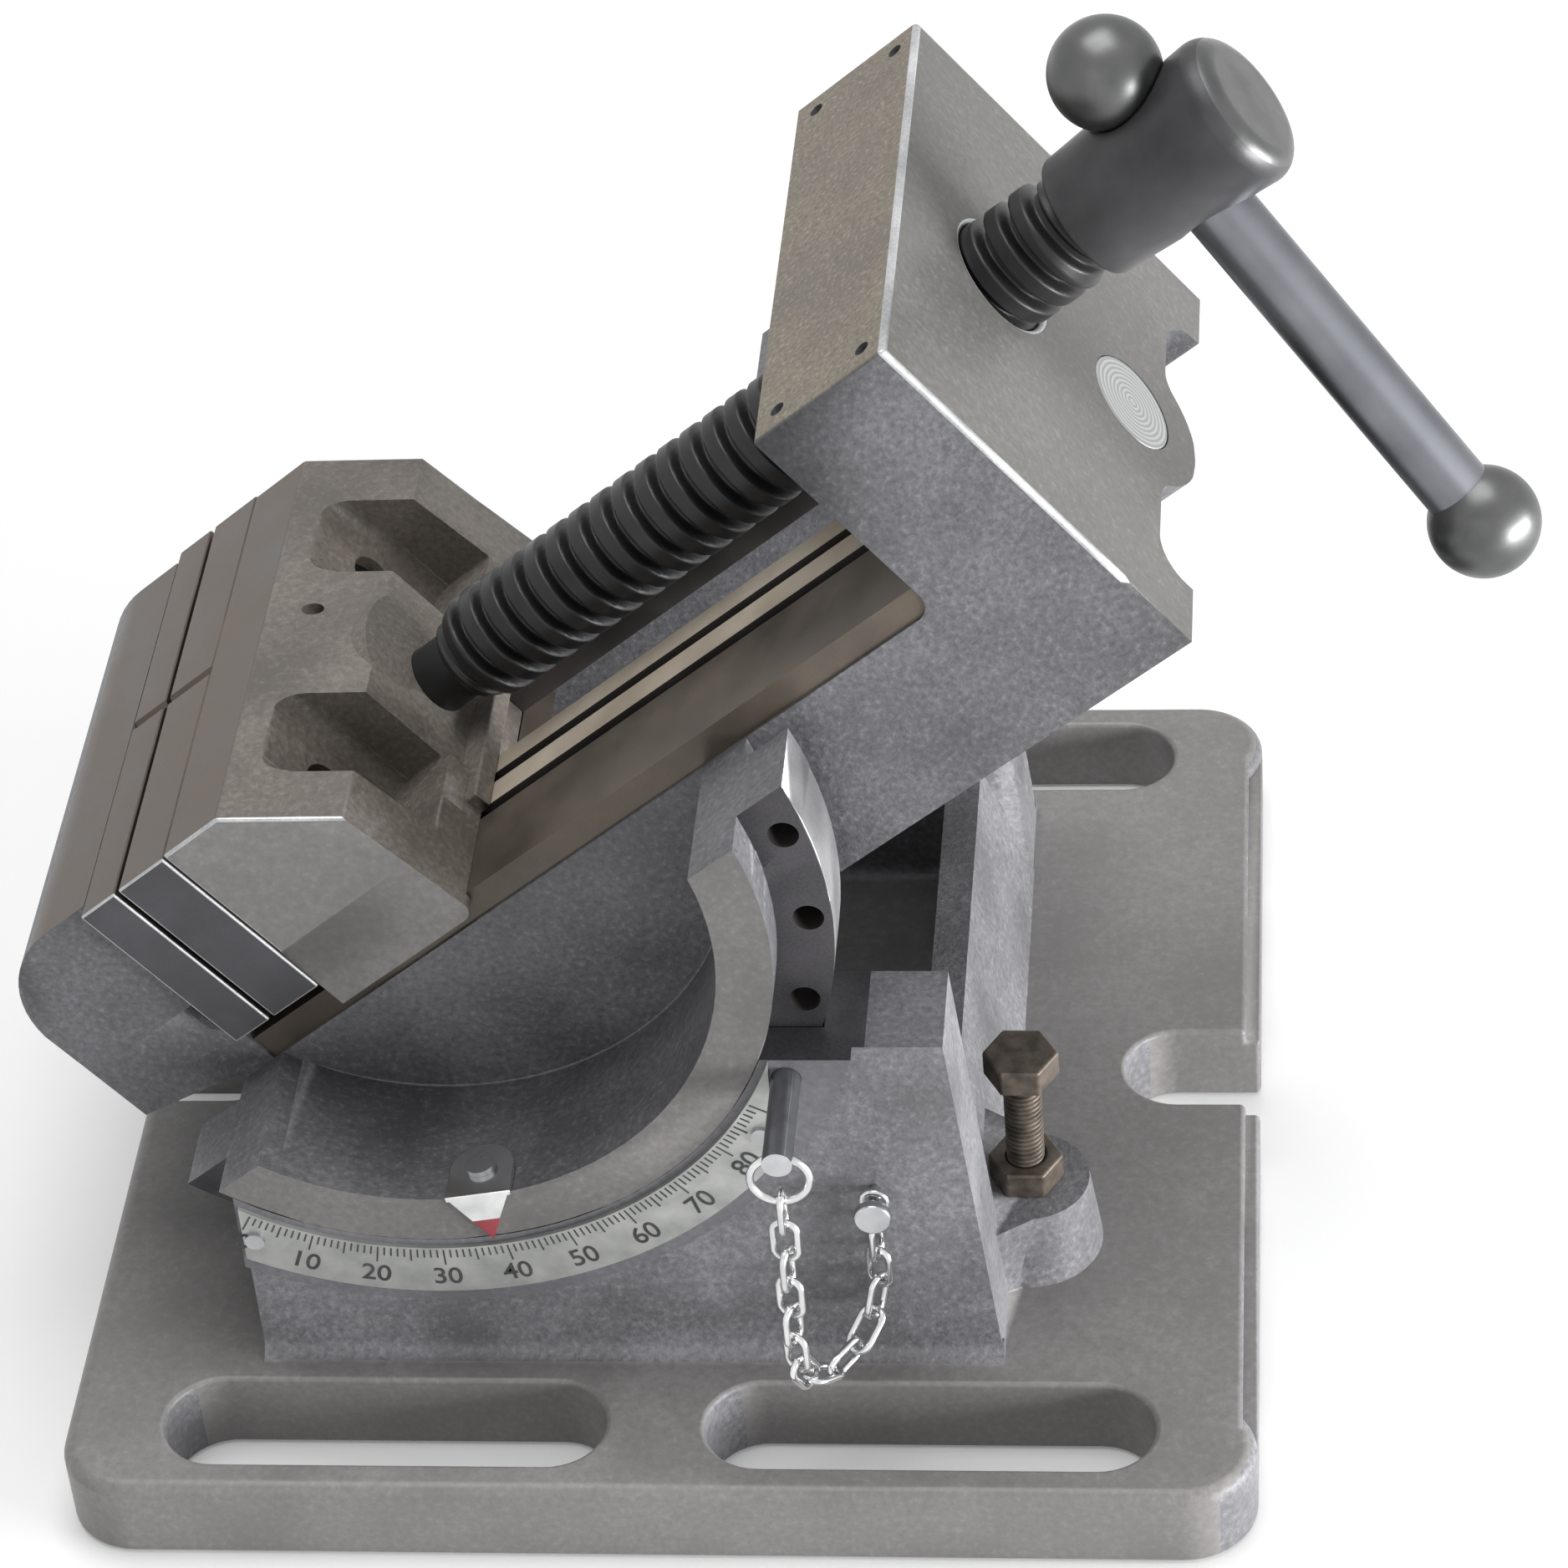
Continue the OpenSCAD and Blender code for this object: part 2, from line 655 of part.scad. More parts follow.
// Outline of a side wall: straight under the rails, round at the trunnion, deep to the end block
module wall_outline() {
    translate([fixed_seat_u, -chord_drop]) square([block_u - fixed_seat_u + over, chord_drop - rail_drop]);
    translate([0, -body_depth]) square([block_u + over, body_depth - rail_drop]);
    intersection() {
        circle(r = ring_r, $fn = 96);
        translate([-2 * ring_r, -2 * ring_r]) square([4 * ring_r, 2 * ring_r - rail_drop]);
    }
}

// Outline of the ground band on a rail's side, which the skirts of the moving jaw run along
module band_outline() {
    band_l = block_u - fixed_seat_u;
    translate([fixed_seat_u, -chord_drop]) square([band_l - band_r, chord_drop - rail_drop + over]);
    translate([fixed_seat_u, band_r - chord_drop]) square([band_l, chord_drop - rail_drop - band_r + over]);
    translate([block_u - band_r, band_r - chord_drop]) circle(r = band_r);
}

// Cross-section of the two rails with their oil grooves
module rail_section() {
    for (side = [-1, 1]) difference() {
        translate([side > 0 ? rail_gap / 2 : -body_half, rail_v - rail_t])
            square([body_half - rail_gap / 2, rail_t]);
        for (i = [0, 1])
            translate([side * (rail_gap / 2 + groove_in + groove_w / 2 + i * groove_pitch), rail_v])
                square([groove_w, 2 * groove_d], center = true);
    }
}

// Cross-section of the end block: ribs at the sides, arches between them and a round boss for the plug
module block_section() {
    difference() {
        translate([-body_half, -body_depth]) square([body_w, body_depth + block_top]);
        for (side = [0, 1]) mirror([side, 0]) difference() {
            arch_outline();
            translate([0, plug_v]) circle(r = plug_boss_r);
        }
    }
}

// One arch from the boss to the rib, with round corners that run smoothly into the boss
module arch_outline() {
    mid_v = arch_h - body_depth - arch_r;
    rise = plug_v - mid_v;
    boss_y = sqrt(pow(plug_boss_r + arch_r, 2) - pow(rise, 2));
    rib_y = body_half - wall_t;
    share = plug_boss_r / (plug_boss_r + arch_r);
    translate([0, -body_depth - over]) square([rib_y, mid_v + body_depth + over]);
    translate([boss_y, mid_v]) square([rib_y - arch_r - boss_y, arch_r]);
    polygon([[0, mid_v], [boss_y, mid_v], [share * boss_y, plug_v - share * rise]]);
    for (y = [boss_y, rib_y - arch_r]) translate([y, mid_v]) circle(r = arch_r);
}

// Outline of the fixed jaw seen from the side, rounded behind and rising toward its rear
module fixed_jaw_outline() {
    difference() {
        translate([fixed_rear_u, -chord_drop]) square([fixed_jaw_t, jaw_top + chord_drop]);
        translate([fixed_rear_u + fixed_round, jaw_top - fixed_round]) difference() {
            translate([-fixed_round - over, 0]) square(fixed_round + over);
            circle(r = fixed_round);
        }
        polygon([[fixed_rear_u - over, -chord_drop - over], [fixed_seat_u, -chord_drop - over],
            [fixed_seat_u, -chord_drop], [fixed_rear_u - over, fixed_rise - chord_drop]]);
    }
}

module vise_body() {
    color(paint) in_vise() difference() {
        union() {
            both_sides() side_extrude(-body_half, wall_t - body_half) wall_outline();
            end_extrude(fixed_seat_u - over, block_u + over) rail_section();
            end_extrude(block_u, block_end_u) block_section();
            side_extrude(-body_half, body_half) fixed_jaw_outline();
            trunnion(true);
            mirror([0, 1, 0]) trunnion(false);
        }
        both_sides() side_extrude(-body_half - over, band_d - body_half) band_outline();
        rod_x(block_u - over, block_end_u + over, screw_d + 2 * run_clear);
        translate([0, 0, plug_v])
            rod_x(block_end_u - plug_depth - seat_clear, block_end_u + over, plug_d + 2 * seat_clear);
        for (x = [rivet_inset, block_t - rivet_inset], y = [-1, 1])
            translate([block_u + x, y * (body_half - rivet_inset), block_top - rivet_hole_depth])
                cylinder(h = rivet_hole_depth + over, d = rivet_hole_d);
        jaw_screw_places() {
            rod_x(fixed_rear_u - over, fixed_seat_u + over, jaw_screw_d + 2 * run_clear);
            rod_x(fixed_rear_u - over, fixed_head_u, jaw_head_d + 2 * run_clear);
        }
        pointer_place() translate([0, pointer_rivet_y, -ring_r + over])
            cylinder(h = ring_w, d = pointer_rivet_d + 2 * seat_clear);
    }
}

module end_plug() {
    color(steel) in_vise() translate([0, 0, plug_v]) rod_x(block_end_u - plug_depth, block_end_u, plug_d);
}

// Puts the children at the two jaw plate screws
module jaw_screw_places() {
    for (side = [-1, 1]) translate([0, side * jaw_screw_y, jaw_screw_v]) children();
}

// Turns the children to the pointer's place, with -Z outward from the tilt axis
module pointer_place() {
    rotate([0, -pointer_angle, 0]) children();
}

// A round-ended tab inside the ring, bent over its edge to a tip on the ring's face
module angle_pointer() {
    color("#c4c8ca") in_vise() pointer_place() difference() {
        union() {
            translate([0, 0, -pointer_r]) linear_extrude(pointer_t) {
                translate([0, -face_y - seat_clear + pointer_tab - pointer_w / 2]) circle(d = pointer_w);
                translate([-pointer_w / 2, -face_y - seat_clear - pointer_t])
                    square([pointer_w, pointer_tab + pointer_t - pointer_w / 2]);
            }
            side_extrude(-face_y - seat_clear - pointer_t, -face_y - seat_clear)
                polygon([[-pointer_w / 2, pointer_t - pointer_r], [pointer_w / 2, pointer_t - pointer_r],
                    [0, -ring_r]]);
        }
        translate([0, pointer_rivet_y, -ring_r])
            cylinder(h = 2 * ring_w, d = pointer_rivet_d + 2 * seat_clear);
    }
}

module pointer_rivet() {
    color(steel) in_vise() pointer_place() translate([0, pointer_rivet_y, 0]) {
        translate([0, 0, -ring_r + over + seat_clear])
            cylinder(h = ring_r - over - pointer_r + pointer_t, d = pointer_rivet_d);
        translate([0, 0, pointer_t - pointer_r + seat_clear])
            cylinder(h = pointer_t, d = pointer_rivet_head_d);
    }
}

// Outline of a jaw plate seen along the screw, with the small groove in the middle of its top edge
module jaw_plate_outline() {
    difference() {
        translate([-jaw_w / 2, plate_bottom_v]) square([jaw_w, jaw_top - plate_bottom_v]);
        translate([0, jaw_top]) rotate(45) square(jaw_notch, center = true);
        jaw_screw_circles();
    }
}

// The tapped holes of a jaw plate
module jaw_screw_circles() {
    for (side = [-1, 1]) translate([side * jaw_screw_y, jaw_screw_v])
        circle(d = jaw_screw_d + 2 * seat_clear);
}

module fixed_jaw_plate() {
    color(ground) in_vise() end_extrude(fixed_seat_u, -jaw_face_u) jaw_plate_outline();
}

// A socket head screw along X: the shank runs from the origin to -X, the head to +X
module socket_screw(shank_l) {
    rod_x(-shank_l, 0, jaw_screw_d);
    difference() {
        rod_x(0, jaw_head_h, jaw_head_d);
        end_extrude(jaw_head_h - socket_d, jaw_head_h + over) hexagon(socket_w);
    }
}

module fixed_jaw_screws() {
    color(black) in_vise() jaw_screw_places() translate([fixed_head_u, 0, 0]) mirror([1, 0, 0])
        socket_screw(fixed_seat_u - fixed_head_u + jaw_screw_bite);
}

module moving_jaw_screws() {
    color(black) in_vise() jaw_screw_places() translate([moving_head_u, 0, 0])
        socket_screw(moving_head_seat + jaw_screw_bite);
}

// Outline of the moving jaw seen from the side, sloping down behind its ground top
module moving_jaw_outline() {
    polygon([[moving_seat_u, moving_bottom_v], [moving_seat_u, jaw_top],
        [moving_seat_u + moving_flat, jaw_top], [moving_end_u - moving_slant, moving_rear_v],
        [moving_end_u, moving_bottom_v]]);
}

// Outline of a skirt of the moving jaw, rounded at its rear
module skirt_outline() {
    translate([moving_seat_u, rail_v - skirt_h]) square([moving_jaw_l - skirt_h, skirt_h + over]);
    translate([moving_end_u - skirt_h, rail_v]) intersection() {
        circle(r = skirt_h);
        translate([0, -skirt_h]) square([skirt_h, skirt_h + run_clear]);
    }
}

// A pocket beside the boss, open to the rear and the top
module jaw_pocket() {
    mid_y = nose_boss_r + pocket_w / 2;
    translate([pocket_u + moving_jaw_l, mid_y, -pocket_floor]) linear_extrude(jaw_top + pocket_floor + over)
        rounded_outline(2 * moving_jaw_l, pocket_w, pocket_r);
}

// Outline of the boss seen along the screw: round above, straight down to the rails
module boss_outline() {
    difference() {
        circle(r = nose_boss_r);
        translate([-nose_boss_r, moving_bottom_v - nose_boss_r]) square([2 * nose_boss_r, nose_boss_r]);
    }
    translate([-nose_boss_r, moving_bottom_v]) square([2 * nose_boss_r, -moving_bottom_v]);
}

module moving_jaw() {
    color(paint) in_vise() difference() {
        union() {
            difference() {
                side_extrude(-moving_jaw_w / 2, moving_jaw_w / 2) moving_jaw_outline();
                both_sides() jaw_pocket();
                translate([boss_end_u, -nose_boss_r - over, moving_bottom_v + foot_h])
                    cube([moving_jaw_l, 2 * (nose_boss_r + over), jaw_top]);
            }
            both_sides() side_extrude(-moving_jaw_w / 2, band_d - body_half - side_clear) skirt_outline();
            end_extrude(pocket_u - over, boss_end_u) boss_outline();
            translate([pocket_u, -foot_w / 2, moving_bottom_v])
                cube([moving_end_u + foot_l - pocket_u, foot_w, foot_h]);
            translate([tongue_u, -tongue_w / 2, keeper_top_v])
                cube([keeper_l, tongue_w, moving_bottom_v - keeper_top_v + over]);
        }
        rod_x(thread_u - nose_l - 2 * side_clear, boss_end_u + over, nose_bore_d);
        translate([nose_pin_u, nose_pin_y, nose_pin_v])
            cylinder(h = 2 * nose_boss_r, d = nose_pin_d + 2 * seat_clear);
        jaw_screw_places() {
            rod_x(moving_seat_u - over, pocket_u, jaw_screw_d + 2 * run_clear);
            rod_x(moving_head_u, pocket_u + over, jaw_head_d + 2 * run_clear);
        }
        keeper_screw_places()
            cylinder(h = keeper_screw_depth + over, d = keeper_screw_d + 2 * seat_clear);
    }
}

module moving_jaw_plate() {
    color(ground) in_vise() end_extrude(moving_face_u, moving_seat_u) jaw_plate_outline();
}

// Puts the children at the two keeper screws, on the keeper's upper face
module keeper_screw_places() {
    for (side = [-1, 1])
        translate([tongue_u + (keeper_l + side * keeper_pitch) / 2, 0, keeper_top_v]) children();
}

module jaw_keeper_plate() {
    color(ground) in_vise() difference() {
        translate([tongue_u, -keeper_w / 2, keeper_top_v - keeper_t]) cube([keeper_l, keeper_w, keeper_t]);
        keeper_screw_places() translate([0, 0, -keeper_t - over])
            cylinder(h = keeper_t + 2 * over, d = keeper_screw_d + 2 * seat_clear);
    }
}

module keeper_screws() {
    color(black) in_vise() keeper_screw_places() {
        translate([0, 0, -keeper_t]) cylinder(h = keeper_t + keeper_screw_depth, d = keeper_screw_d);
        translate([0, 0, -keeper_t - keeper_screw_d]) difference() {
            cylinder(h = keeper_screw_d, d = keeper_head_d);
            translate([0, 0, -over]) linear_extrude(socket_d + over) hexagon(socket_w);
        }
    }
}

// Outline of half the lead screw along its axis: nose with its groove, thread, tapered head with a rounded end
module lead_screw_outline() {
    groove_r = nose_pin_y - nose_pin_d / 2 - side_clear;
    groove_half = nose_pin_d / 2 + side_clear;
    nose_tip = thread_u - nose_l;
    translate([0, nose_tip]) square([nose_d / 2, nose_pin_u - groove_half - nose_tip]);
    translate([0, nose_tip]) square([groove_r, nose_l]);
    translate([0, nose_pin_u + groove_half]) square([nose_d / 2, thread_u - nose_pin_u - groove_half]);
    translate([0, thread_u]) square([screw_d / 2, screw_l]);
    polygon([[0, head_u], [head_neck_d / 2, head_u], [head_d / 2, head_u + head_l - head_round],
        [head_d / 2 - head_round, head_u + head_l], [0, head_u + head_l]]);
    translate([head_d / 2 - head_round, head_u + head_l - head_round]) intersection() {
        circle(r = head_round);
        square(head_round);
    }
}

module lead_screw() {
    color(black) in_vise() difference() {
        rotate([0, 90, 0]) rotate_extrude() lead_screw_outline();
        bar_place() {
            translate([0, 0, -head_d]) cylinder(h = 2 * head_d, d = bar_bore_d);
            for (end = [-1, 1]) translate([0, 0, end * ball_seat]) sphere(d = ball_d + 2 * side_clear);
        }
    }
}

module nose_pin() {
    color(steel) in_vise() translate([nose_pin_u, nose_pin_y, nose_pin_v + seat_clear])
        cylinder(h = nose_boss_r - nose_pin_v - nose_pin_d / 2, d = nose_pin_d);
}

// Stands the children in the head's cross hole, Z up along the bar
module bar_place() {
    translate([bar_u, 0, 0]) rotate([-bar_lean, 0, 0]) children();
}

module handle_bar() {
    color(steel) in_vise() bar_place() translate([0, 0, ball_seat - bar_span])
        cylinder(h = bar_span, d = bar_d);
}

// A ball on one end of the bar, bored to its middle for the bar
module handle_ball(up) {
    ball_z = up > 0 ? ball_seat : ball_seat - bar_span;
    color("#8d9093") in_vise() bar_place() translate([0, 0, ball_z]) difference() {
        sphere(d = ball_d);
        mirror([0, 0, up > 0 ? 1 : 0]) translate([0, 0, -seat_clear])
            cylinder(h = ball_d, d = bar_d + 2 * seat_clear);
    }
}

module handle_ball_upper() {
    handle_ball(1);
}

module handle_ball_lower() {
    handle_ball(-1);
}

// A closed ring of wire in the XZ plane
module wire_ring(r, wire) {
    rotate([90, 0, 0]) rotate_extrude() translate([r, 0]) circle(d = wire);
}

module index_pin() {
    color(steel) difference() {
        translate([pin_x, 0, pin_z]) rod_y(pin_end_y, pin_tip_y, pin_d);
        translate([pin_x, pin_eye_y, pin_ring_z]) wire_ring(pin_ring_r, pin_ring_wire + side_clear);
    }
}

module pin_ring() {
    color(steel) translate([pin_x, pin_eye_y, pin_ring_z]) wire_ring(pin_ring_r, pin_ring_wire);
}

// One chain link in the XZ plane, long along Z
module chain_link() {
    mid_r = (link_w + chain_wire) / 2;
    half = (link_l - link_w) / 2;
    for (end = [0, 1]) mirror([0, 0, end]) translate([0, 0, half]) rotate([90, 0, 0])
        rotate_extrude(angle = 180) translate([mid_r, 0]) circle(d = chain_wire);
    for (side = [-1, 1]) translate([side * mid_r, 0, -half]) cylinder(h = 2 * half, d = chain_wire);
}

module safety_chain() {
    color(steel) for (i = [0 : link_count - 1]) {
        s0 = i * link_step;
        s1 = s0 + link_step;
        out = chain_out(s1) - chain_out(s0);
        up = chain_height(s1) - chain_height(s0);
        translate([chain_start[0], chain_start[1], 0]) rotate([0, 0, chain_bearing])
            translate([(chain_out(s0) + chain_out(s1)) / 2, 0, (chain_height(s0) + chain_height(s1)) / 2])
                rotate([0, atan2(out, up), 0]) rotate([0, 0, 90 * (i % 2) + chain_twist((s0 + s1) / 2)])
                    chain_link();
    }
}

module chain_anchor_screw() {
    color(steel) translate([anchor_x, 0, anchor_z]) {
        rod_y(-cheek_out_y - anchor_reach, -cheek_out_y + cheek_t / 2 - over, anchor_d);
        rod_y(-cheek_out_y - anchor_reach - anchor_d, -cheek_out_y - anchor_reach, anchor_head_d);
    }
}

module stop_bolt() {
    color("#4a423c") translate([stop_x, -stop_side, 0]) {
        translate([0, 0, stop_boss_z - stop_bolt_depth])
            cylinder(h = stop_head_top - stop_head_h - stop_boss_z + stop_bolt_depth, d = stop_bolt_d);
        translate([0, 0, stop_head_top - stop_head_h]) linear_extrude(stop_head_h) hexagon(stop_hex_w);
    }
}

module stop_nut() {
    color("#4a423c") translate([stop_x, -stop_side, stop_boss_z]) linear_extrude(stop_nut_h) difference() {
        hexagon(stop_hex_w);
        circle(d = stop_bolt_d + 2 * run_clear);
    }
}

base_casting();
scale_plate();
scale_rivets();
vise_body();
end_plug();
angle_pointer();
pointer_rivet();
fixed_jaw_plate();
fixed_jaw_screws();
moving_jaw();
moving_jaw_plate();
moving_jaw_screws();
jaw_keeper_plate();
keeper_screws();
lead_screw();
nose_pin();
handle_bar();
handle_ball_upper();
handle_ball_lower();
index_pin();
pin_ring();
safety_chain();
chain_anchor_screw();
stop_bolt();
stop_nut();
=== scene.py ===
"""Looks of the tilting bench vise, in metres, in the same frame as its solids."""

import json
import math

import bmesh
import bpy
from mathutils import Matrix, Vector
from mathutils.bvhtree import BVHTree
from mathutils.kdtree import KDTree


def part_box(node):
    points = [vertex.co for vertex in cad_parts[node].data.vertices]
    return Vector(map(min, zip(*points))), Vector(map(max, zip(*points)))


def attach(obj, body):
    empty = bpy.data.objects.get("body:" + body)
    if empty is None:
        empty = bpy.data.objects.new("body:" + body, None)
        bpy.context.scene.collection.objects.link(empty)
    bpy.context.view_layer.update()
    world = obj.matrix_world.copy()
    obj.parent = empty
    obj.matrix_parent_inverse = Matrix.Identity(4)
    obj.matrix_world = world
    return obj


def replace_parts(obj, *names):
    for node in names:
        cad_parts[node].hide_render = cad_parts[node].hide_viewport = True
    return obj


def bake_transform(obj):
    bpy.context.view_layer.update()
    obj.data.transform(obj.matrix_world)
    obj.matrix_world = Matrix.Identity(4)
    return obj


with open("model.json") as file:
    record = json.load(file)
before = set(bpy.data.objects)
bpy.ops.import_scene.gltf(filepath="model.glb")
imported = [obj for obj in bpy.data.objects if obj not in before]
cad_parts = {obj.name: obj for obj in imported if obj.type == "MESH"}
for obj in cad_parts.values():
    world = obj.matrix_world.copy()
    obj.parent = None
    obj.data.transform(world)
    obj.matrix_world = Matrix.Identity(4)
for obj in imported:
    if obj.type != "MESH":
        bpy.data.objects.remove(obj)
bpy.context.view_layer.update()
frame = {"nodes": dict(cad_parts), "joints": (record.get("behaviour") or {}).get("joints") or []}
nodes = frame["nodes"]
joints = {joint["name"]: joint for joint in frame["joints"]}

MM = 0.001
SIDE = Vector((0, 1, 0))
# The vise's own frame: origin on the tilt axis, X along the lead screw, Z up from the rails
AXIS = Vector(joints["tilt"]["pos_m"])
ALONG = Vector(joints["jaw_slide"]["axis"]).normalized()
RISE = ALONG.cross(SIDE)
VISE = Matrix.Translation(AXIS) @ Matrix((ALONG, SIDE, RISE)).transposed().to_4x4()
TO_VISE = VISE.inverted()
TILT = math.atan2(ALONG.z, ALONG.x)

# Widest rounding of a casting's edge, in millimetres
CAST_ROUND = 3.2
# Shares of that width: beside machined faces, in inside corners, on soft outside edges and on the moving jaw
MACHINED_SHARE = 0.12
INSIDE_SHARE = 0.7
SOFT_SHARE = 0.3
JAW_SHARE = 0.16
# The most of the narrower face beside an edge that a rounding takes up
ROOM_SHARE = 0.4
# Points closer than this, in millimetres, are one
SAME_PLACE = 0.002
# Facets narrower than this have sharp edges, in millimetres of area over outline
NARROW_FACET = 0.5
# Room that a fillet needs beside it, and heights and lengths of the corners rounded in full, in millimetres
FILLET_ROOM = 6
TALL_CORNER = 30
LONGEST_CORNER = 90
# Edges flatter than this are left to smooth shading
SHARP = math.radians(30)
# Faces or outlines that turn by more than this have folded over
TURNED_BACK = math.radians(140)
# Triangles lower than this, in millimetres, have no sure direction
SLIVER = 0.01
# Most tries at making folded roundings smaller
TRIES = 24
# Strips narrower than this, in millimetres, that turn outward by more than the angle are painted bright:
# wear, and a painted highlight along the edge
HIGHLIGHT_STRIP = 0.62
HIGHLIGHT_TURN = math.radians(14)
# A face looks along an axis where its normal has at least this share of it
FACING = 0.95
# How far a face may lie off the size it is known by, in millimetres
SLACK = 0.3
# Sizes that repeat the solids, in millimetres
BASE_T = 15
FACE_Y = 73
CHEEK_Y = 70
RAIL_V = -12
BAND_V = -17
GROOVES_Y = 27.2
BLOCK_TOP = 23.5
BLOCK_U = 96.5
END_U = 122.5
BODY_Y = 46
RING_IN_R = 50.8
RING_R = 59.7
FLANGE_R = 68.7
FLANGE_IN_Y = 51
FLANGE_Y = 65
JAW_TOP = 25.8
JAW_SCREW_R = 4.25
NOTCH_REACH = 12
THREAD_U = 4.5
THREAD_L = 135
SCREW_R = 9.5
NOSE_R = 6
STOP_R = 3.2
STOP_HEAD_H = 5
SLOT_X = 44.85
SLOT_Y = 86
SIDE_CLEAR = 0.3
PIN_RING_WIRE = 1.3
ANCHOR_R = 0.9
LINK_OUT_W = 5.2
LINK_PITCH = 6.3
CHAIN_LOW = 10
SCALE_FACE_Y = FACE_Y + 0.8
SCALE_IN_R = 61
RED_FROM_R = 55.2
# Where the scale's zero and the pointer stand, turned from straight down
SCALE_ZERO = math.radians(-28.4)
POINTER_TURN = math.radians(-29)


def linear(code):
    """An sRGB hex colour as linear RGBA."""
    parts = [int(code[i:i + 2], 16) / 255 for i in (1, 3, 5)]
    return [c / 12.92 if c <= 0.04045 else ((c + 0.055) / 1.055) ** 2.4 for c in parts] + [1]


def add(tree, kind, inputs=None, **settings):
    """Adds a node with its settings, input values and links."""
    made = tree.nodes.new(kind)
    for key, value in settings.items():
        setattr(made, key, value)
    for key, value in (inputs or {}).items():
        if isinstance(value, bpy.types.NodeSocket):
            tree.links.new(value, made.inputs[key])
        else:
            made.inputs[key].default_value = value
    return made


def calc(tree, operation, *values):
    """The outlet of a math node on numbers and outlets."""
    return add(tree, "ShaderNodeMath", dict(enumerate(values)), operation=operation).outputs[0]


def ranged(tree, value, start, end, low, high, **settings):
    """The outlet of a value whose range from start to end is spread from low to high."""
    limits = {"From Min": start, "From Max": end, "To Min": low, "To Max": high}
    return add(tree, "ShaderNodeMapRange", {"Value": value, **limits}, **settings).outputs[0]


def noise(tree, place, size_mm, detail, **more):
    """The outlet of a noise with features of about the given size."""
    inputs = {"Vector": place, "Scale": 1 / (size_mm * MM), "Detail": detail, **more}
    return add(tree, "ShaderNodeTexNoise", inputs).outputs["Fac"]


def shaded(tree, share, low, dark, high, light):
    """The outlet of a colour that goes from dark to light between two stops."""
    ramp = add(tree, "ShaderNodeValToRGB", {"Fac": share})
    for stop, place, code in zip(ramp.color_ramp.elements, (low, high), (dark, light)):
        stop.position = place
        stop.color = linear(code)
    return ramp.outputs["Color"]


def bumped(tree, height, strength, depth_mm):
    """The outlet of a normal that follows a height."""
    inputs = {"Height": height, "Strength": strength, "Distance": depth_mm * MM}
    return add(tree, "ShaderNodeBump", inputs).outputs["Normal"]


def new_finish(name):
    """An empty material; gives it, its tree and the outlet of the piece's coordinates."""
    material = bpy.data.materials.new(name)
    material.use_nodes = True
    material.node_tree.nodes.clear()
    return material, material.node_tree, add(material.node_tree, "ShaderNodeTexCoord").outputs["Object"]


def set_surface(tree, **sockets):
    """Ends a material's tree with a shader that has the given values and outlets."""
    shader = add(tree, "ShaderNodeBsdfPrincipled", {k.replace("_", " "): v for k, v in sockets.items()})
    add(tree, "ShaderNodeOutputMaterial", {"Surface": shader.outputs["BSDF"]})


def cast_enamel(name, dark, light, fleck, grain_mm, grain_depth_mm, rough):
    """Grey machine enamel sprayed over sand-cast iron: semi-gloss, with the sand's grain showing through
    as fine lumps, a slow cloudiness in the grey, and pale flecks where the tops of the grain are rubbed."""
    cloud_mm, lump_mm, bare_iron = 22, 2.2 * grain_mm, "#b9babd"
    material, tree, place = new_finish(name)
    cloud = noise(tree, place, cloud_mm, detail=3)
    sand = noise(tree, place, grain_mm, detail=4, Roughness=0.6)
    lumps = add(tree, "ShaderNodeTexVoronoi", {"Vector": place, "Scale": 1 / (lump_mm * MM)},
                feature="SMOOTH_F1")
    tint = shaded(tree, calc(tree, "MULTIPLY", cloud, sand), 0.14, dark, 0.38, light)
    tops = ranged(tree, sand, 0.58, 0.72, 0, fleck)
    flecked = add(tree, "ShaderNodeMix", {"Factor": tops, 6: tint, 7: linear(bare_iron)}, data_type="RGBA")
    height = calc(tree, "MULTIPLY_ADD", lumps.outputs["Distance"], 0.55, sand)
    set_surface(tree, Base_Color=flecked.outputs[2], Normal=bumped(tree, height, 1, grain_depth_mm),
                Roughness=ranged(tree, cloud, 0.3, 0.7, rough - 0.07, rough + 0.09))
    return material


def ground_iron(name, dark, light, metallic, rough, stretch):
    """Surface-ground grey iron with an oil film: warm grey metal, fine grinding lines along one way and
    a slight unevenness where the oil lies. The lines are drawn coarser than real grit so that they show."""
    line_mm, line_depth_mm, film_mm = 0.5, 0.02, 14
    material, tree, place = new_finish(name)
    turned = add(tree, "ShaderNodeMapping", {"Vector": place, "Rotation": (0, TILT, 0), "Scale": stretch})
    lines = noise(tree, turned.outputs[0], line_mm, detail=3)
    film = noise(tree, place, film_mm, detail=4)
    both = calc(tree, "MULTIPLY_ADD", lines, 0.5, film)
    set_surface(tree, Metallic=metallic, Base_Color=shaded(tree, both, 0.5, dark, 0.98, light),
                Roughness=ranged(tree, film, 0.3, 0.7, rough - 0.06, rough + 0.1),
                Normal=bumped(tree, lines, 0.5, line_depth_mm))
    return material


def plain_steel(name, dark, light, metallic, rough, patch_mm, scratch):
    """Turned, drawn or plated steel: an even metal with faint patches of handling and hairline scratches."""
    hair_mm, hair_depth_mm = 0.35, 0.02
    material, tree, place = new_finish(name)
    patch = noise(tree, place, patch_mm, detail=5)
    hair = noise(tree, place, hair_mm, detail=2)
    set_surface(tree, Metallic=metallic, Base_Color=shaded(tree, patch, 0.3, dark, 0.7, light),
                Roughness=ranged(tree, patch, 0.3, 0.7, rough + 0.06, rough - 0.04),
                Normal=bumped(tree, hair, scratch, hair_depth_mm))
    return material


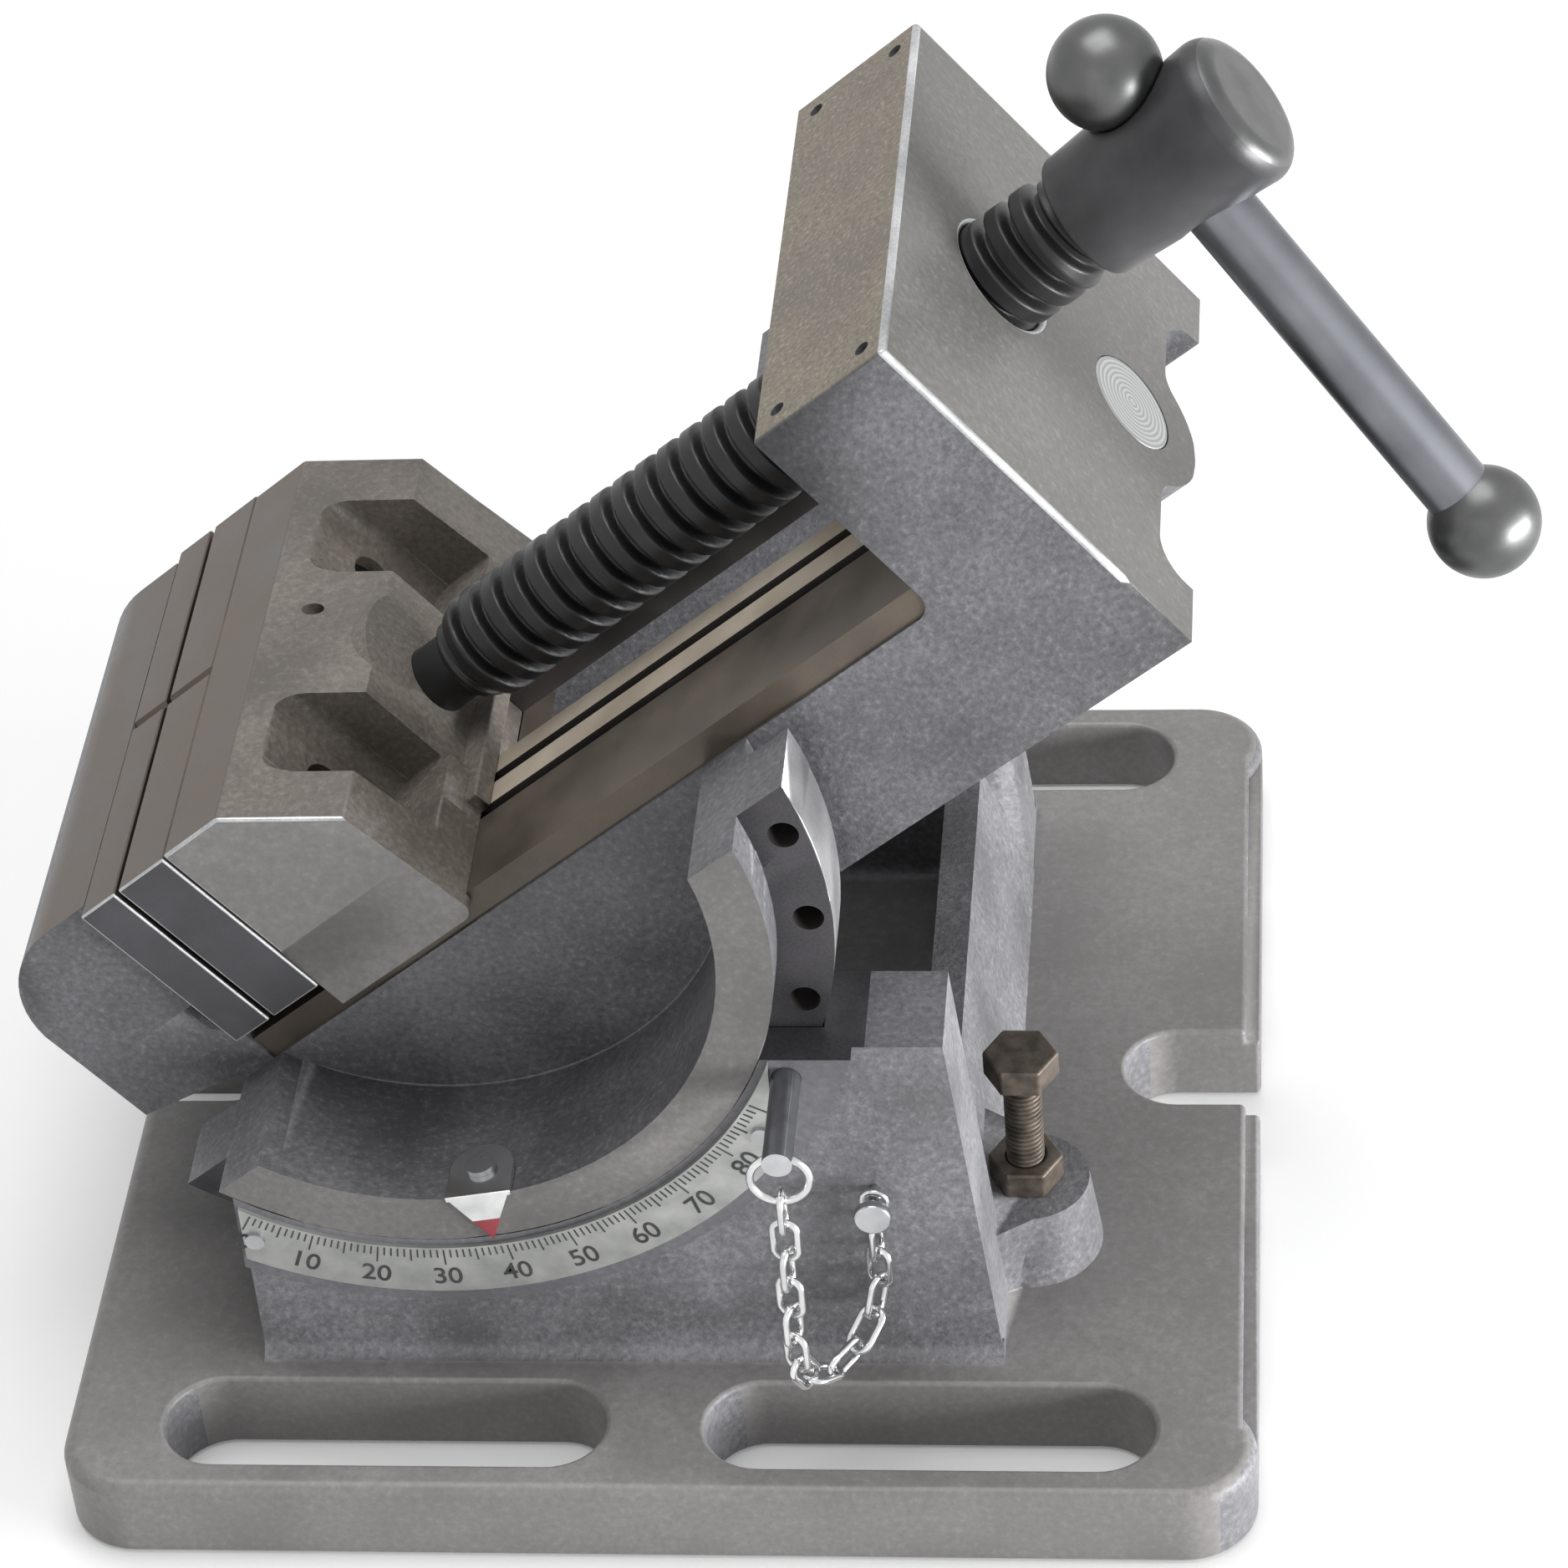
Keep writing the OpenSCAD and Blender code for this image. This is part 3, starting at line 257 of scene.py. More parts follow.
def faced_steel(name, dark, light, centre, ring_mm, ring_depth_mm):
    """Steel faced in a lathe: bright, with fine rings round its middle that catch the light."""
    material, tree, place = new_finish(name)
    seat = add(tree, "ShaderNodeMapping", {"Vector": place, "Location": centre,
                                           "Rotation": (0, math.pi / 2 - TILT, 0)}, vector_type="TEXTURE")
    wave = add(tree, "ShaderNodeTexWave", {"Vector": seat.outputs[0], "Scale": math.pi / (10 * ring_mm * MM),
                                           "Distortion": 0.6}, wave_type="RINGS", rings_direction="Z")
    rings = wave.outputs["Fac"]
    set_surface(tree, Metallic=1, Roughness=0.28, Base_Color=shaded(tree, rings, 0, dark, 1, light),
                Normal=bumped(tree, rings, 0.6, ring_depth_mm))
    return material


# Sand-cast sides, the rough grain of the mould under the paint
CAST = cast_enamel("enamel_on_base_casting", "#5f5f62", "#848488",
                   fleck=0.14, grain_mm=1.1, grain_depth_mm=0.15, rough=0.44)
# The vise body's casting, its grey darker than the base's as painted shade for the body's sides
BODY = cast_enamel("enamel_on_body_casting", "#505053", "#737377",
                   fleck=0.12, grain_mm=1.1, grain_depth_mm=0.15, rough=0.44)
# Fettled and milled faces under the same paint, nearly smooth
SMOOTH = cast_enamel("enamel_on_milled_iron", "#767473", "#888685",
                     fleck=0.06, grain_mm=1.3, grain_depth_mm=0.03, rough=0.42)
# Faced sides of the rings, darkened as painted shade for their lower and left parts, away from the light; and
# the lips that carry the scale, in a darker grey like the cheeks
RING = cast_enamel("enamel_on_faced_ring", "#646261", "#777574",
                   fleck=0.06, grain_mm=1.3, grain_depth_mm=0.03, rough=0.42)
LIP = cast_enamel("enamel_on_faced_lip", "#5e5e62", "#737378",
                  fleck=0.05, grain_mm=1.3, grain_depth_mm=0.04, rough=0.42)
# The inside of the rings, left as cast, in a darker grey than the body's: painted shade in the recess
RING_INSIDE = cast_enamel("casting_in_ring_painted_shade", "#414143", "#5f5f62",
                          fleck=0.1, grain_mm=1.1, grain_depth_mm=0.15, rough=0.46)
# The end face, the same paint rubbed down to a darker even grey
END_FACE = cast_enamel("enamel_on_end_face", "#53524f", "#646361",
                       fleck=0.08, grain_mm=1.2, grain_depth_mm=0.04, rough=0.44)
# The moving jaw's casting, its paint browned by cutting oil
BROWNED = cast_enamel("oil_browned_enamel", "#5a544e", "#7d766f",
                      fleck=0.1, grain_mm=1.1, grain_depth_mm=0.12, rough=0.46)
# Outward edges, bright iron where the paint is gone, made brighter still as a painted highlight along the
# edges where the light catches them
WORN_HIGHLIGHT = ground_iron("worn_iron_edge_painted_highlight", "#9a9b9d", "#d0d1d3", metallic=0.6, rough=0.34, stretch=(1, 1, 1))
# Rails: the inner strips are polished by the jaw, the rest is ground and browned by old oil; the strips'
# cream and the rails' brown are partly a painted reflection of a brown room
STRIP = ground_iron("polished_iron_strip_and_painted_reflection", "#a69a89", "#cdc2b1", metallic=0.25, rough=0.34, stretch=(1, 6, 6))
RAIL = ground_iron("oiled_iron_rail_and_painted_reflection", "#4d463f", "#685f55", metallic=0.5, rough=0.36, stretch=(1, 6, 6))
# Oil grooves, and the round faces within the flange such as its index holes, dark as painted shade in these
# recesses
GROOVE = ground_iron("groove_painted_shade", "#2c2a28", "#454140", metallic=0.3, rough=0.5, stretch=(1, 6, 6))
# Jaw tops and plates, ground along the jaw, their brown partly a painted reflection of a brown room; the
# plates' sawn ends are a clean grey
JAW = ground_iron("ground_steel_jaw", "#463f39", "#645a52", metallic=0.8, rough=0.36, stretch=(6, 1, 6))
PLATE_END = ground_iron("sawn_steel_end", "#434346", "#5b5b5f", metallic=0.7, rough=0.42, stretch=(6, 6, 1))
# The end block's top, left rough from the planer and speckled with old oil, its brown partly a painted
# reflection of a brown room
BLOCK = cast_enamel("planed_iron_block_top", "#5e564c", "#8d8575",
                    fleck=0.3, grain_mm=0.8, grain_depth_mm=0.08, rough=0.50)
# Bored and faced seats of the trunnion, dark: grease, and painted shade for these recessed faces
SEAT = ground_iron("bored_iron_seat", "#353436", "#555357", metallic=0.5, rough=0.42, stretch=(1, 1, 1))
# Faced trunnion rim, bright
RIM = ground_iron("faced_iron_rim", "#8b8b8d", "#b4b4b6", metallic=0.8, rough=0.36, stretch=(1, 1, 1))
# Lead screw, hot-blacked steel with a film of oil
BLACKED = plain_steel("blacked_steel_screw", "#171718", "#2d2c2d",
                      metallic=0.35, rough=0.40, patch_mm=9, scratch=0.6)
# Screw head, phosphated and dull
PHOSPHATE = plain_steel("phosphated_steel_head", "#343436", "#4b4b4d",
                        metallic=0.45, rough=0.40, patch_mm=12, scratch=0.6)
# Tommy bar, drawn bright bar with a satin chrome plate
BRIGHT = plain_steel("satin_chromed_bar", "#66686d", "#828489",
                     metallic=1.0, rough=0.34, patch_mm=16, scratch=0.4)
# Handle balls, tumbled steel; the same lighter finish on the screw head's end is painted light, for the end
# that faces the lamp
TUMBLED_AND_LIT = plain_steel("tumbled_steel_ball_and_lit_head_end", "#525353", "#686968",
                      metallic=0.85, rough=0.34, patch_mm=10, scratch=0.5)
# Rivets and screws, turned steel
TURNED = plain_steel("turned_steel", "#9d9ea0", "#c4c5c6", metallic=1.0, rough=0.26, patch_mm=8, scratch=0.4)
# Index pin, drawn steel rod, grey on its round
DRAWN = plain_steel("drawn_steel_pin", "#55565a", "#77787d",
                    metallic=0.8, rough=0.36, patch_mm=6, scratch=0.5)
# Chain, ring and pointer, bright nickel plate
NICKEL = plain_steel("nickel_plate", "#c4c5c6", "#e8e8e8", metallic=1.0, rough=0.18, patch_mm=6, scratch=0.2)
# Stop bolt and nut, oil-blackened with a brown tinge
OILED = plain_steel("oil_blackened_bolt", "#423c36", "#70665c",
                    metallic=0.5, rough=0.44, patch_mm=2.5, scratch=0.8)
# Scale, etched aluminium strip
ETCHED = plain_steel("etched_aluminium_scale", "#979997", "#b6b7b4",
                     metallic=0.6, rough=0.40, patch_mm=5, scratch=0.8)
# Marks on the scale, black etching ink
INK = plain_steel("etching_ink", "#2c2c2e", "#454547", metallic=0.0, rough=0.6, patch_mm=3, scratch=0.3)
# Pointer tip, red lacquer
LACQUER = plain_steel("red_lacquer", "#8a2f38", "#a5434b", metallic=0.0, rough=0.3, patch_mm=4, scratch=0.2)


def stand(name, data):
    """A new object in the scene."""
    made = bpy.data.objects.new(name, data)
    bpy.context.scene.collection.objects.link(made)
    return made


def put(name, mesh, body):
    """Makes a finished mesh a piece that moves with a body."""
    piece = stand(name, mesh)
    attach(piece, body)
    return piece


def final_mesh(piece):
    """The evaluated shape of an object as a plain mesh; the object itself is removed."""
    bpy.context.view_layer.update()
    made = bpy.data.meshes.new_from_object(piece.evaluated_get(bpy.context.evaluated_depsgraph_get()))
    piece.modifiers.clear()
    bpy.data.objects.remove(piece)
    return made


def merged_copy(node, cuts=()):
    """A solid's mesh with its triangles joined into whole faces. The cuts are planes, each a point and
    a normal, that part the large flat faces so that none of them rings a hole."""
    most_corners = 8
    flat = {"angle_limit": math.radians(0.5), "delimit": {"SEAM"}}
    shape = bmesh.new()
    shape.from_mesh(nodes[node].data)
    bmesh.ops.remove_doubles(shape, verts=shape.verts, dist=SAME_PLACE * MM)
    bmesh.ops.dissolve_limit(shape, verts=shape.verts, edges=shape.edges, **flat)
    for point, normal in cuts:
        for edge in split_along(shape, point, normal, lambda face: len(face.verts) > most_corners):
            edge.seam = True
    bmesh.ops.dissolve_limit(shape, verts=shape.verts, edges=shape.edges, **flat)
    return shape


def rounded(name, shape, weights, finishes, width_mm, segments):
    """A mesh of the shape with its weighted edges rounded."""
    for edge in shape.edges:
        if len(edge.link_faces) == 2 and abs(edge.calc_face_angle_signed(0)) > SHARP:
            edge.smooth = edge[weights] > 0
    mesh = bpy.data.meshes.new(name)
    shape.to_mesh(mesh)
    for finish in finishes:
        mesh.materials.append(finish)
    piece = stand(name, mesh)
    bevel = piece.modifiers.new("edges", "BEVEL")
    bevel.limit_method = "WEIGHT"
    bevel.width = width_mm * MM
    bevel.segments = segments
    bevel.use_clamp_overlap = False
    bevel.loop_slide = False
    piece.modifiers.new("shading", "WEIGHTED_NORMAL").keep_sharp = True
    return final_mesh(piece)


def folds(mesh, sound, reach):
    """Places where a rounding has turned a face over, thrown it clear of the sound shape or crossed its
    outline."""
    least_area, area_slack, least_slack, least_facing = 2e-9, 0.02, 1e-7, 0.1
    mesh.calc_loop_triangles()
    spots, covered = [], [0] * len(mesh.polygons)
    for triangle in mesh.loop_triangles:
        covered[triangle.polygon_index] += triangle.area
        corners = [mesh.vertices[i].co for i in triangle.vertices]
        longest = max((corners[i] - corners[i - 1]).length for i in range(3))
        if 2 * triangle.area < SLIVER * MM * longest + least_area:
            continue
        near_normal, gap = sound.find_nearest(sum(corners, Vector()) / 3)[1::2]
        if near_normal.dot(triangle.normal) < least_facing or gap > reach:
            spots += [corner.copy() for corner in corners]
    for face in mesh.polygons:
        crossed = abs(covered[face.index] - face.area) > area_slack * face.area + least_slack
        if crossed and len(face.vertices) > 4:
            spots += turned_back([mesh.vertices[i].co for i in face.vertices])
    shape = bmesh.new()
    shape.from_mesh(mesh)
    for edge in shape.edges:
        if len(edge.link_faces) == 2 and edge.calc_face_angle(0) > TURNED_BACK:
            spots += [vert.co.copy() for vert in edge.verts]
    shape.free()
    return spots


def turned_back(corners):
    """The corners at which an outline turns back on itself, or all of them if there is none."""
    found = []
    for i, corner in enumerate(corners):
        come, leave = corner - corners[i - 1], corners[(i + 1) % len(corners)] - corner
        if come.length and leave.length and come.angle(leave) > TURNED_BACK:
            found.append(corner.copy())
    return found or [corner.copy() for corner in corners]


def spare(shape, weights, spots, reach):
    """Halves the rounding of the edges that pass the given spots, and leaves off what is too small to see."""
    least_share = 0.1
    tree = KDTree(len(spots))
    for i, spot in enumerate(spots):
        tree.insert(spot, i)
    tree.balance()
    for edge in shape.edges:
        if not edge[weights]:
            continue
        start, end = (vert.co for vert in edge.verts)
        steps = math.ceil(edge.calc_length() / reach)
        if any(tree.find(start.lerp(end, i / steps))[2] < reach for i in range(steps + 1)):
            edge[weights] = edge[weights] / 2 if edge[weights] > least_share else 0


def eased(name, shape, finishes, finish_at, edge_at, width_mm, segments):
    """Rounds a shape's edges and gives its faces their finishes, and frees the shape.

    finish_at(centre, normal) gives a face's finish, edge_at(edge, signed angle) the share of the full width
    that an edge is rounded by. Where a rounding would fold over, it is made smaller, with each try over a
    wider stretch of the edges beside it."""
    thrown_share, widest_reach = 0.7, 3
    weights = shape.edges.layers.float.new("bevel_weight_edge")
    for face in shape.faces:
        face.material_index = finishes.index(finish_at(face.calc_center_median(), face.normal))
        face.smooth = True
    for edge in shape.edges:
        if len(edge.link_faces) == 2:
            angle = edge.calc_face_angle_signed(0)
            edge[weights] = edge_at(edge, angle) if abs(angle) > SHARP else 0
    sound = BVHTree.FromBMesh(shape)
    for attempt in range(TRIES):
        mesh = rounded(name, shape, weights, finishes, width_mm, segments)
        spots = folds(mesh, sound, thrown_share * width_mm * MM)
        if not spots:
            break
        spare(shape, weights, spots, min(1 + attempt / 4, widest_reach) * width_mm * MM)
    shape.free()
    return mesh


def rub_edges(mesh, highlit_at):
    """Gives the narrow rounded strips on outward edges the bright edge finish, wear and a painted highlight
    together, at the places that the given test picks in the vise's frame, in millimetres."""
    rubbed = list(mesh.materials).index(WORN_HIGHLIGHT)
    shape = bmesh.new()
    shape.from_mesh(mesh)
    shape.normal_update()
    for face in shape.faces:
        breadth = 2 * face.calc_area() / face.calc_perimeter()
        turn = sum(edge.calc_face_angle_signed(0) for edge in face.edges)
        spot = TO_VISE @ face.calc_center_median() / MM
        # The bright edge finish here is wear and a painted highlight together
        if breadth < HIGHLIGHT_STRIP * MM and turn > HIGHLIGHT_TURN and highlit_at(spot):
            face.material_index = rubbed
    shape.to_mesh(mesh)
    shape.free()


def near(value, target, reach=0.4):
    """Whether a value lies within reach of a target."""
    return abs(value - target) < reach


def base_finish(centre, normal):
    """The plate's top and edges are smooth, lips faced, bores dark with grease and painted shade, the rest as
    cast.
    """
    away_y, height = abs(centre.y) / MM, centre.z / MM
    if normal.z > FACING and near(height, BASE_T):
        return SMOOTH
    if normal.z > -0.1 and normal.x < 0.5 and height < BASE_T:
        return SMOOTH
    if abs(normal.y) > FACING and near(away_y, FACE_Y):
        return LIP
    radius = math.hypot(centre.x - AXIS.x, centre.z - AXIS.z) / MM
    # The cradle's bores: dark seat finish, grease and painted shade
    if abs(normal.y) < 0.1 and away_y > FLANGE_IN_Y and RING_R - 2 < radius < FLANGE_R + 1.5:
        return SEAT
    if abs(normal.y) > FACING and near(away_y, FLANGE_Y + SIDE_CLEAR):
        return SEAT
    return CAST


def vise_finish(centre, normal):
    """Rails, jaw top, block top and trunnion faces are machined, the end face is smooth, the rest as cast."""
    spot = TO_VISE @ centre / MM
    way = TO_VISE.to_3x3() @ normal
    away_y, radius = abs(spot.y), math.hypot(spot.x, spot.z)
    # Ground and planed tops: brown tints that are partly a painted reflection
    if way.z > FACING and near(spot.z, BLOCK_TOP):
        return BLOCK
    if way.z > FACING and near(spot.z, JAW_TOP):
        return JAW
    on_band = BAND_V - SLACK < spot.z < RAIL_V + SLACK and spot.x < BLOCK_U + 0.2
    if on_band and away_y < BODY_Y + SLACK:
        if away_y > GROOVES_Y:
            return RAIL
        # The strips' tops are polished; the groove faces between them are dark as painted shade
        return STRIP if near(spot.z, RAIL_V) else GROOVE
    # Ring faces take the darkened enamel, painted shade
    if abs(way.y) > FACING and near(away_y, FACE_Y):
        return RING
    # The recessed flange face: dark seat finish, grease and painted shade
    if abs(way.y) > FACING and near(away_y, FLANGE_Y):
        return SEAT
    # Inside of the rings: darker enamel, painted shade in the recess
    if away_y > BODY_Y and abs(way.y) < 0.2 and near(radius, RING_IN_R, 1):
        return RING_INSIDE
    # Faced rim bright; the faces within the flange, its index holes among them, dark as painted shade
    if away_y > BODY_Y + 3 and abs(way.y) < 0.2 and radius > RING_R + 0.8:
        return RIM if radius > FLANGE_R - 1.5 else GROOVE
    if way.x > FACING and near(spot.x, END_U):
        return END_FACE
    # The rest of the body: the darker enamel that carries painted shade
    return BODY


def jaw_finish(centre, normal):
    """The jaw's top is ground and its sides are smooth, the rest as cast."""
    spot = TO_VISE @ centre / MM
    way = TO_VISE.to_3x3() @ normal
    # Ground top: its brown partly a painted reflection
    if way.z > FACING and near(spot.z, JAW_TOP):
        return JAW
    if abs(way.y) > FACING and abs(spot.y) > BODY_Y:
        return SMOOTH
    return BROWNED


def room_beside(edge):
    """How far the narrower of an edge's two faces goes from it."""
    start, end = (vert.co for vert in edge.verts)
    way = (end - start).normalized()
    return min(max((vert.co - start).cross(way).length for vert in face.verts) for face in edge.link_faces)


def casting_edge(finishes, machined):
    """How far an edge of a casting is rounded: wide fillets inside, full rounds on tall outside corners, soft
    edges elsewhere, small breaks at machined faces and none at narrow facets."""
    def edge_at(edge, angle):
        if min(face.calc_area() / face.calc_perimeter() for face in edge.link_faces) < NARROW_FACET * MM:
            return 0
        room = room_beside(edge)
        rise = abs(edge.verts[0].co.z - edge.verts[1].co.z)
        if any(finishes[face.material_index] in machined for face in edge.link_faces):
            share = MACHINED_SHARE
        elif angle < 0:
            share = INSIDE_SHARE if room > FILLET_ROOM * MM else 0
        else:
            tall = rise > TALL_CORNER * MM and edge.calc_length() < LONGEST_CORNER * MM
            share = 1 if tall else SOFT_SHARE
        return min(share, ROOM_SHARE * room / (CAST_ROUND * MM))
    return edge_at


def split_along(shape, point, normal, touches):
    """Cuts the faces that touches() picks along a plane and gives the edges of the cut."""
    faces = [face for face in shape.faces if touches(face)]
    edges = {edge for face in faces for edge in face.edges}
    parts = list(edges | {vert for face in faces for vert in face.verts}) + faces
    cut = bmesh.ops.bisect_plane(shape, geom=parts, plane_co=point, plane_no=normal, dist=1e-6)["geom_cut"]
    return [item for item in cut if isinstance(item, bmesh.types.BMEdge)]


def across(axis, *places_mm):
    """Cutting planes across a world axis."""
    normal = Vector([float(i == axis) for i in range(3)])
    return [(normal * place * MM, normal) for place in places_mm]


def middle_of(node):
    """The middle of a solid's box."""
    low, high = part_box(node)
    return (low + high) / 2


def make_base():
    """Painted base, its roundings parted at the slots, the stop bolt and the anchor screw."""
    screw, bolt = middle_of("chain_anchor_screw") / MM, middle_of("stop_bolt") / MM
    cuts = across(0, -SLOT_X, SLOT_X, AXIS.x / MM, bolt.x, screw.x) + across(1, -SLOT_Y, SLOT_Y, bolt.y)
    cuts += across(2, screw.z)
    finishes = [CAST, SMOOTH, SEAT, LIP]
    mesh = eased("base_casting_dressed", merged_copy("base_casting", cuts), finishes, base_finish,
                 casting_edge(finishes, [SEAT]), width_mm=CAST_ROUND, segments=4)
    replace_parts(put("base_casting_dressed", mesh, "base"), "base_casting")


def make_vise_body():
    """Painted body with ground rails and faced rings, the edge round its end face painted bright: wear, and a
    painted highlight.
    """
    cuts = [(AXIS, SIDE), (AXIS, RISE), (middle_of("end_plug"), RISE)]
    finishes = [BODY, RING, RAIL, JAW, BLOCK, SEAT, RIM, WORN_HIGHLIGHT, STRIP, GROOVE, END_FACE, RING_INSIDE]
    machined = [RAIL, JAW, SEAT, RIM, STRIP, GROOVE, RING_INSIDE]
    mesh = eased("vise_body_dressed", merged_copy("vise_body", cuts), finishes, vise_finish,
                 casting_edge(finishes, machined), width_mm=CAST_ROUND, segments=4)
    rub_edges(mesh, lambda spot: near(spot.x, END_U, 1.2))
    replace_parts(put("vise_body_dressed", mesh, "vise"), "vise_body")


def make_moving_jaw():
    """Oil-browned jaw with a ground top and smooth sides, the edges of its sides painted bright: wear, and a
    painted highlight.
    """
    screws_low, screws_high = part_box("moving_jaw_screws")
    row = (screws_high.y - screws_low.y) / 2 / MM - JAW_SCREW_R
    cuts = [(AXIS, SIDE), (AXIS, RISE)] + across(1, -row, row)
    finishes = [BROWNED, SMOOTH, JAW, WORN_HIGHLIGHT]
    soft_edge = casting_edge(finishes, [JAW])

    def jaw_edge(edge, angle):
        if all(abs(vert.co.y) > (BODY_Y + 2) * MM for vert in edge.verts):
            return JAW_SHARE
        share = soft_edge(edge, angle)
        return min(JAW_SHARE, share) if angle > 0 else share

    mesh = eased("moving_jaw_dressed", merged_copy("moving_jaw", cuts), finishes, jaw_finish, jaw_edge,
                 width_mm=CAST_ROUND, segments=3)
    rub_edges(mesh, lambda spot: abs(spot.y) > BODY_Y + 1.3)
    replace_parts(put("moving_jaw_dressed", mesh, "sliding_jaw"), "moving_jaw")


def make_jaw_plate(node, body):
    """A ground plate with sawn ends, their edges painted bright as wear and a painted highlight; the edges of
    the notch in its middle stay sharp."""
    name = node + "_dressed"
    end_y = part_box(node)[1].y / MM
    longest_at_notch = 40

    def plate_edge(edge, angle):
        middle_y = abs(edge.verts[0].co.y + edge.verts[1].co.y) / 2
        return int(middle_y > NOTCH_REACH * MM or edge.calc_length() > longest_at_notch * MM)

    mesh = eased(name, merged_copy(node), [JAW, PLATE_END, WORN_HIGHLIGHT],
                 lambda centre, normal: PLATE_END if abs(normal.y) > 0.9 else JAW, plate_edge,
                 width_mm=0.35, segments=2)
    rub_edges(mesh, lambda spot: abs(spot.y) > end_y - 0.5)
    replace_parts(put(name, mesh, body), node)


def make_index_pin():
    """Dark drawn rod with a bright cut end."""
    low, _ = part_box("index_pin")

    def pin_finish(centre, normal):
        return TURNED if normal.y < -0.7 and centre.y < low.y + 0.5 * MM else DRAWN

    mesh = eased("index_pin_dressed", merged_copy("index_pin"), [DRAWN, TURNED], pin_finish,
                 lambda edge, angle: 1, width_mm=0.4, segments=2)
    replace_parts(put("index_pin_dressed", mesh, "pin"), "index_pin")


def make_small_part(node, body, finish, width_mm):
    """A machined part with its edges broken."""
    name = node + "_dressed"
    mesh = eased(name, merged_copy(node), [finish], lambda centre, normal: finish, lambda edge, angle: 1,
                 width_mm, segments=2)
    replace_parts(put(name, mesh, body), node)


def new_tree(name, sizes, takes_geometry=False):
    """An empty geometry tree with named sizes; gives the tree and its inputs' outlets."""
    tree = bpy.data.node_groups.new(name, "GeometryNodeTree")
    if takes_geometry:
        tree.interface.new_socket("Geometry", in_out="INPUT", socket_type="NodeSocketGeometry")
    for label, value in sizes.items():
        kind = "NodeSocketInt" if isinstance(value, int) else "NodeSocketFloat"
        tree.interface.new_socket(label, in_out="INPUT", socket_type=kind)
    tree.interface.new_socket("Geometry", in_out="OUTPUT", socket_type="NodeSocketGeometry")
    return tree, add(tree, "NodeGroupInput").outputs


def grow(tree, last, finish, sizes, start=None):
    """Ends a tree, runs it with its sizes on a start mesh and gives the result as a plain mesh."""
    whole = add(tree, "GeometryNodeRealizeInstances", {"Geometry": last})
    faced = add(tree, "GeometryNodeSetMaterial", {"Geometry": whole.outputs[0], "Material": finish})
    add(tree, "NodeGroupOutput", {0: faced.outputs[0]})
    piece = stand(tree.name, start or bpy.data.meshes.new(tree.name))
    modifier = piece.modifiers.new(tree.name, "NODES")
    modifier.node_group = tree
    for item in tree.interface.items_tree:
        if item.in_out == "INPUT" and item.name in sizes:
            modifier[item.identifier] = sizes[item.name]
    return final_mesh(piece)


def thread_mesh(name, finish, sizes):
    """A screw thread along X from the origin: a sheet rolled round X, its radius following a right-hand
    helix."""
    tree, size = new_tree(name, sizes)
    sheet = add(tree, "GeometryNodeMeshGrid", {"Size X": size["Length"], "Size Y": 1.0,
                                               "Vertices X": size["Steps along"],
                                               "Vertices Y": size["Steps round"]})
    spot = add(tree, "ShaderNodeSeparateXYZ", {0: add(tree, "GeometryNodeInputPosition").outputs[0]}).outputs
    along = calc(tree, "ADD", spot["X"], calc(tree, "MULTIPLY", size["Length"], 0.5))
    turn = calc(tree, "ADD", spot["Y"], 0.5)
    wound = calc(tree, "SUBTRACT", calc(tree, "DIVIDE", along, size["Pitch"]), turn)
    away = calc(tree, "ABSOLUTE", calc(tree, "SUBTRACT", calc(tree, "FRACT", wound), 0.5))
    flank = ranged(tree, away, size["Crest share"], size["Root share"], 1, 0, interpolation_type="SMOOTHSTEP")
    end = calc(tree, "MINIMUM", along, calc(tree, "SUBTRACT", size["Length"], along))
    height = calc(tree, "MULTIPLY", flank, ranged(tree, end, 0, size["Pitch"], 0, 1))
    depth = calc(tree, "SUBTRACT", size["Outer radius"], size["Root radius"])
    radius = calc(tree, "MULTIPLY_ADD", height, depth, size["Root radius"])
    angle = calc(tree, "MULTIPLY", turn, 2 * math.pi)
    y = calc(tree, "MULTIPLY", radius, calc(tree, "COSINE", angle))
    z = calc(tree, "MULTIPLY", radius, calc(tree, "SINE", angle))
    place = add(tree, "ShaderNodeCombineXYZ", {0: along, 1: y, 2: z})
    rolled = add(tree, "GeometryNodeSetPosition", {"Geometry": sheet.outputs[0],
                                                   "Position": place.outputs[0]})
    closed = add(tree, "GeometryNodeMergeByDistance", {"Geometry": rolled.outputs[0],
                                                       "Distance": SAME_PLACE * MM})
    return grow(tree, closed.outputs[0], finish, sizes)


def join_thread(mesh, thread, matrix, low_r, high_r):
    """Adds a thread to a turned part, its two open ends drawn in or out to the radii, in metres, of the faces
    that they meet. The ends' faces are made one by one, because an extrusion's order changes between runs."""
    shape = bmesh.new()
    shape.from_mesh(mesh)
    before = set(shape.faces)
    thread.transform(matrix)
    shape.from_mesh(thread)
    grown = [face for face in shape.faces if face not in before]
    inverse = matrix.inverted()
    rims = [edge for face in grown for edge in face.edges if edge.is_boundary]
    places = [(inverse @ vert.co).x for face in grown for vert in face.verts]
    middle = sum(places) / len(places)
    drawn = {}
    for edge in rims:
        for vert in edge.verts:
            if vert not in drawn:
                spot = inverse @ vert.co
                share = (low_r if spot.x < middle else high_r) / math.hypot(spot.y, spot.z)
                drawn[vert] = shape.verts.new(matrix @ Vector((spot.x, spot.y * share, spot.z * share)))
        start, end = edge.link_loops[0].vert, edge.link_loops[0].link_loop_next.vert
        grown.append(shape.faces.new((end, start, drawn[start], drawn[end])))
    for face in grown:
        face.material_index = 0
        face.smooth = True
    bmesh.ops.recalc_face_normals(shape, faces=grown)
    shape.to_mesh(mesh)
    shape.free()


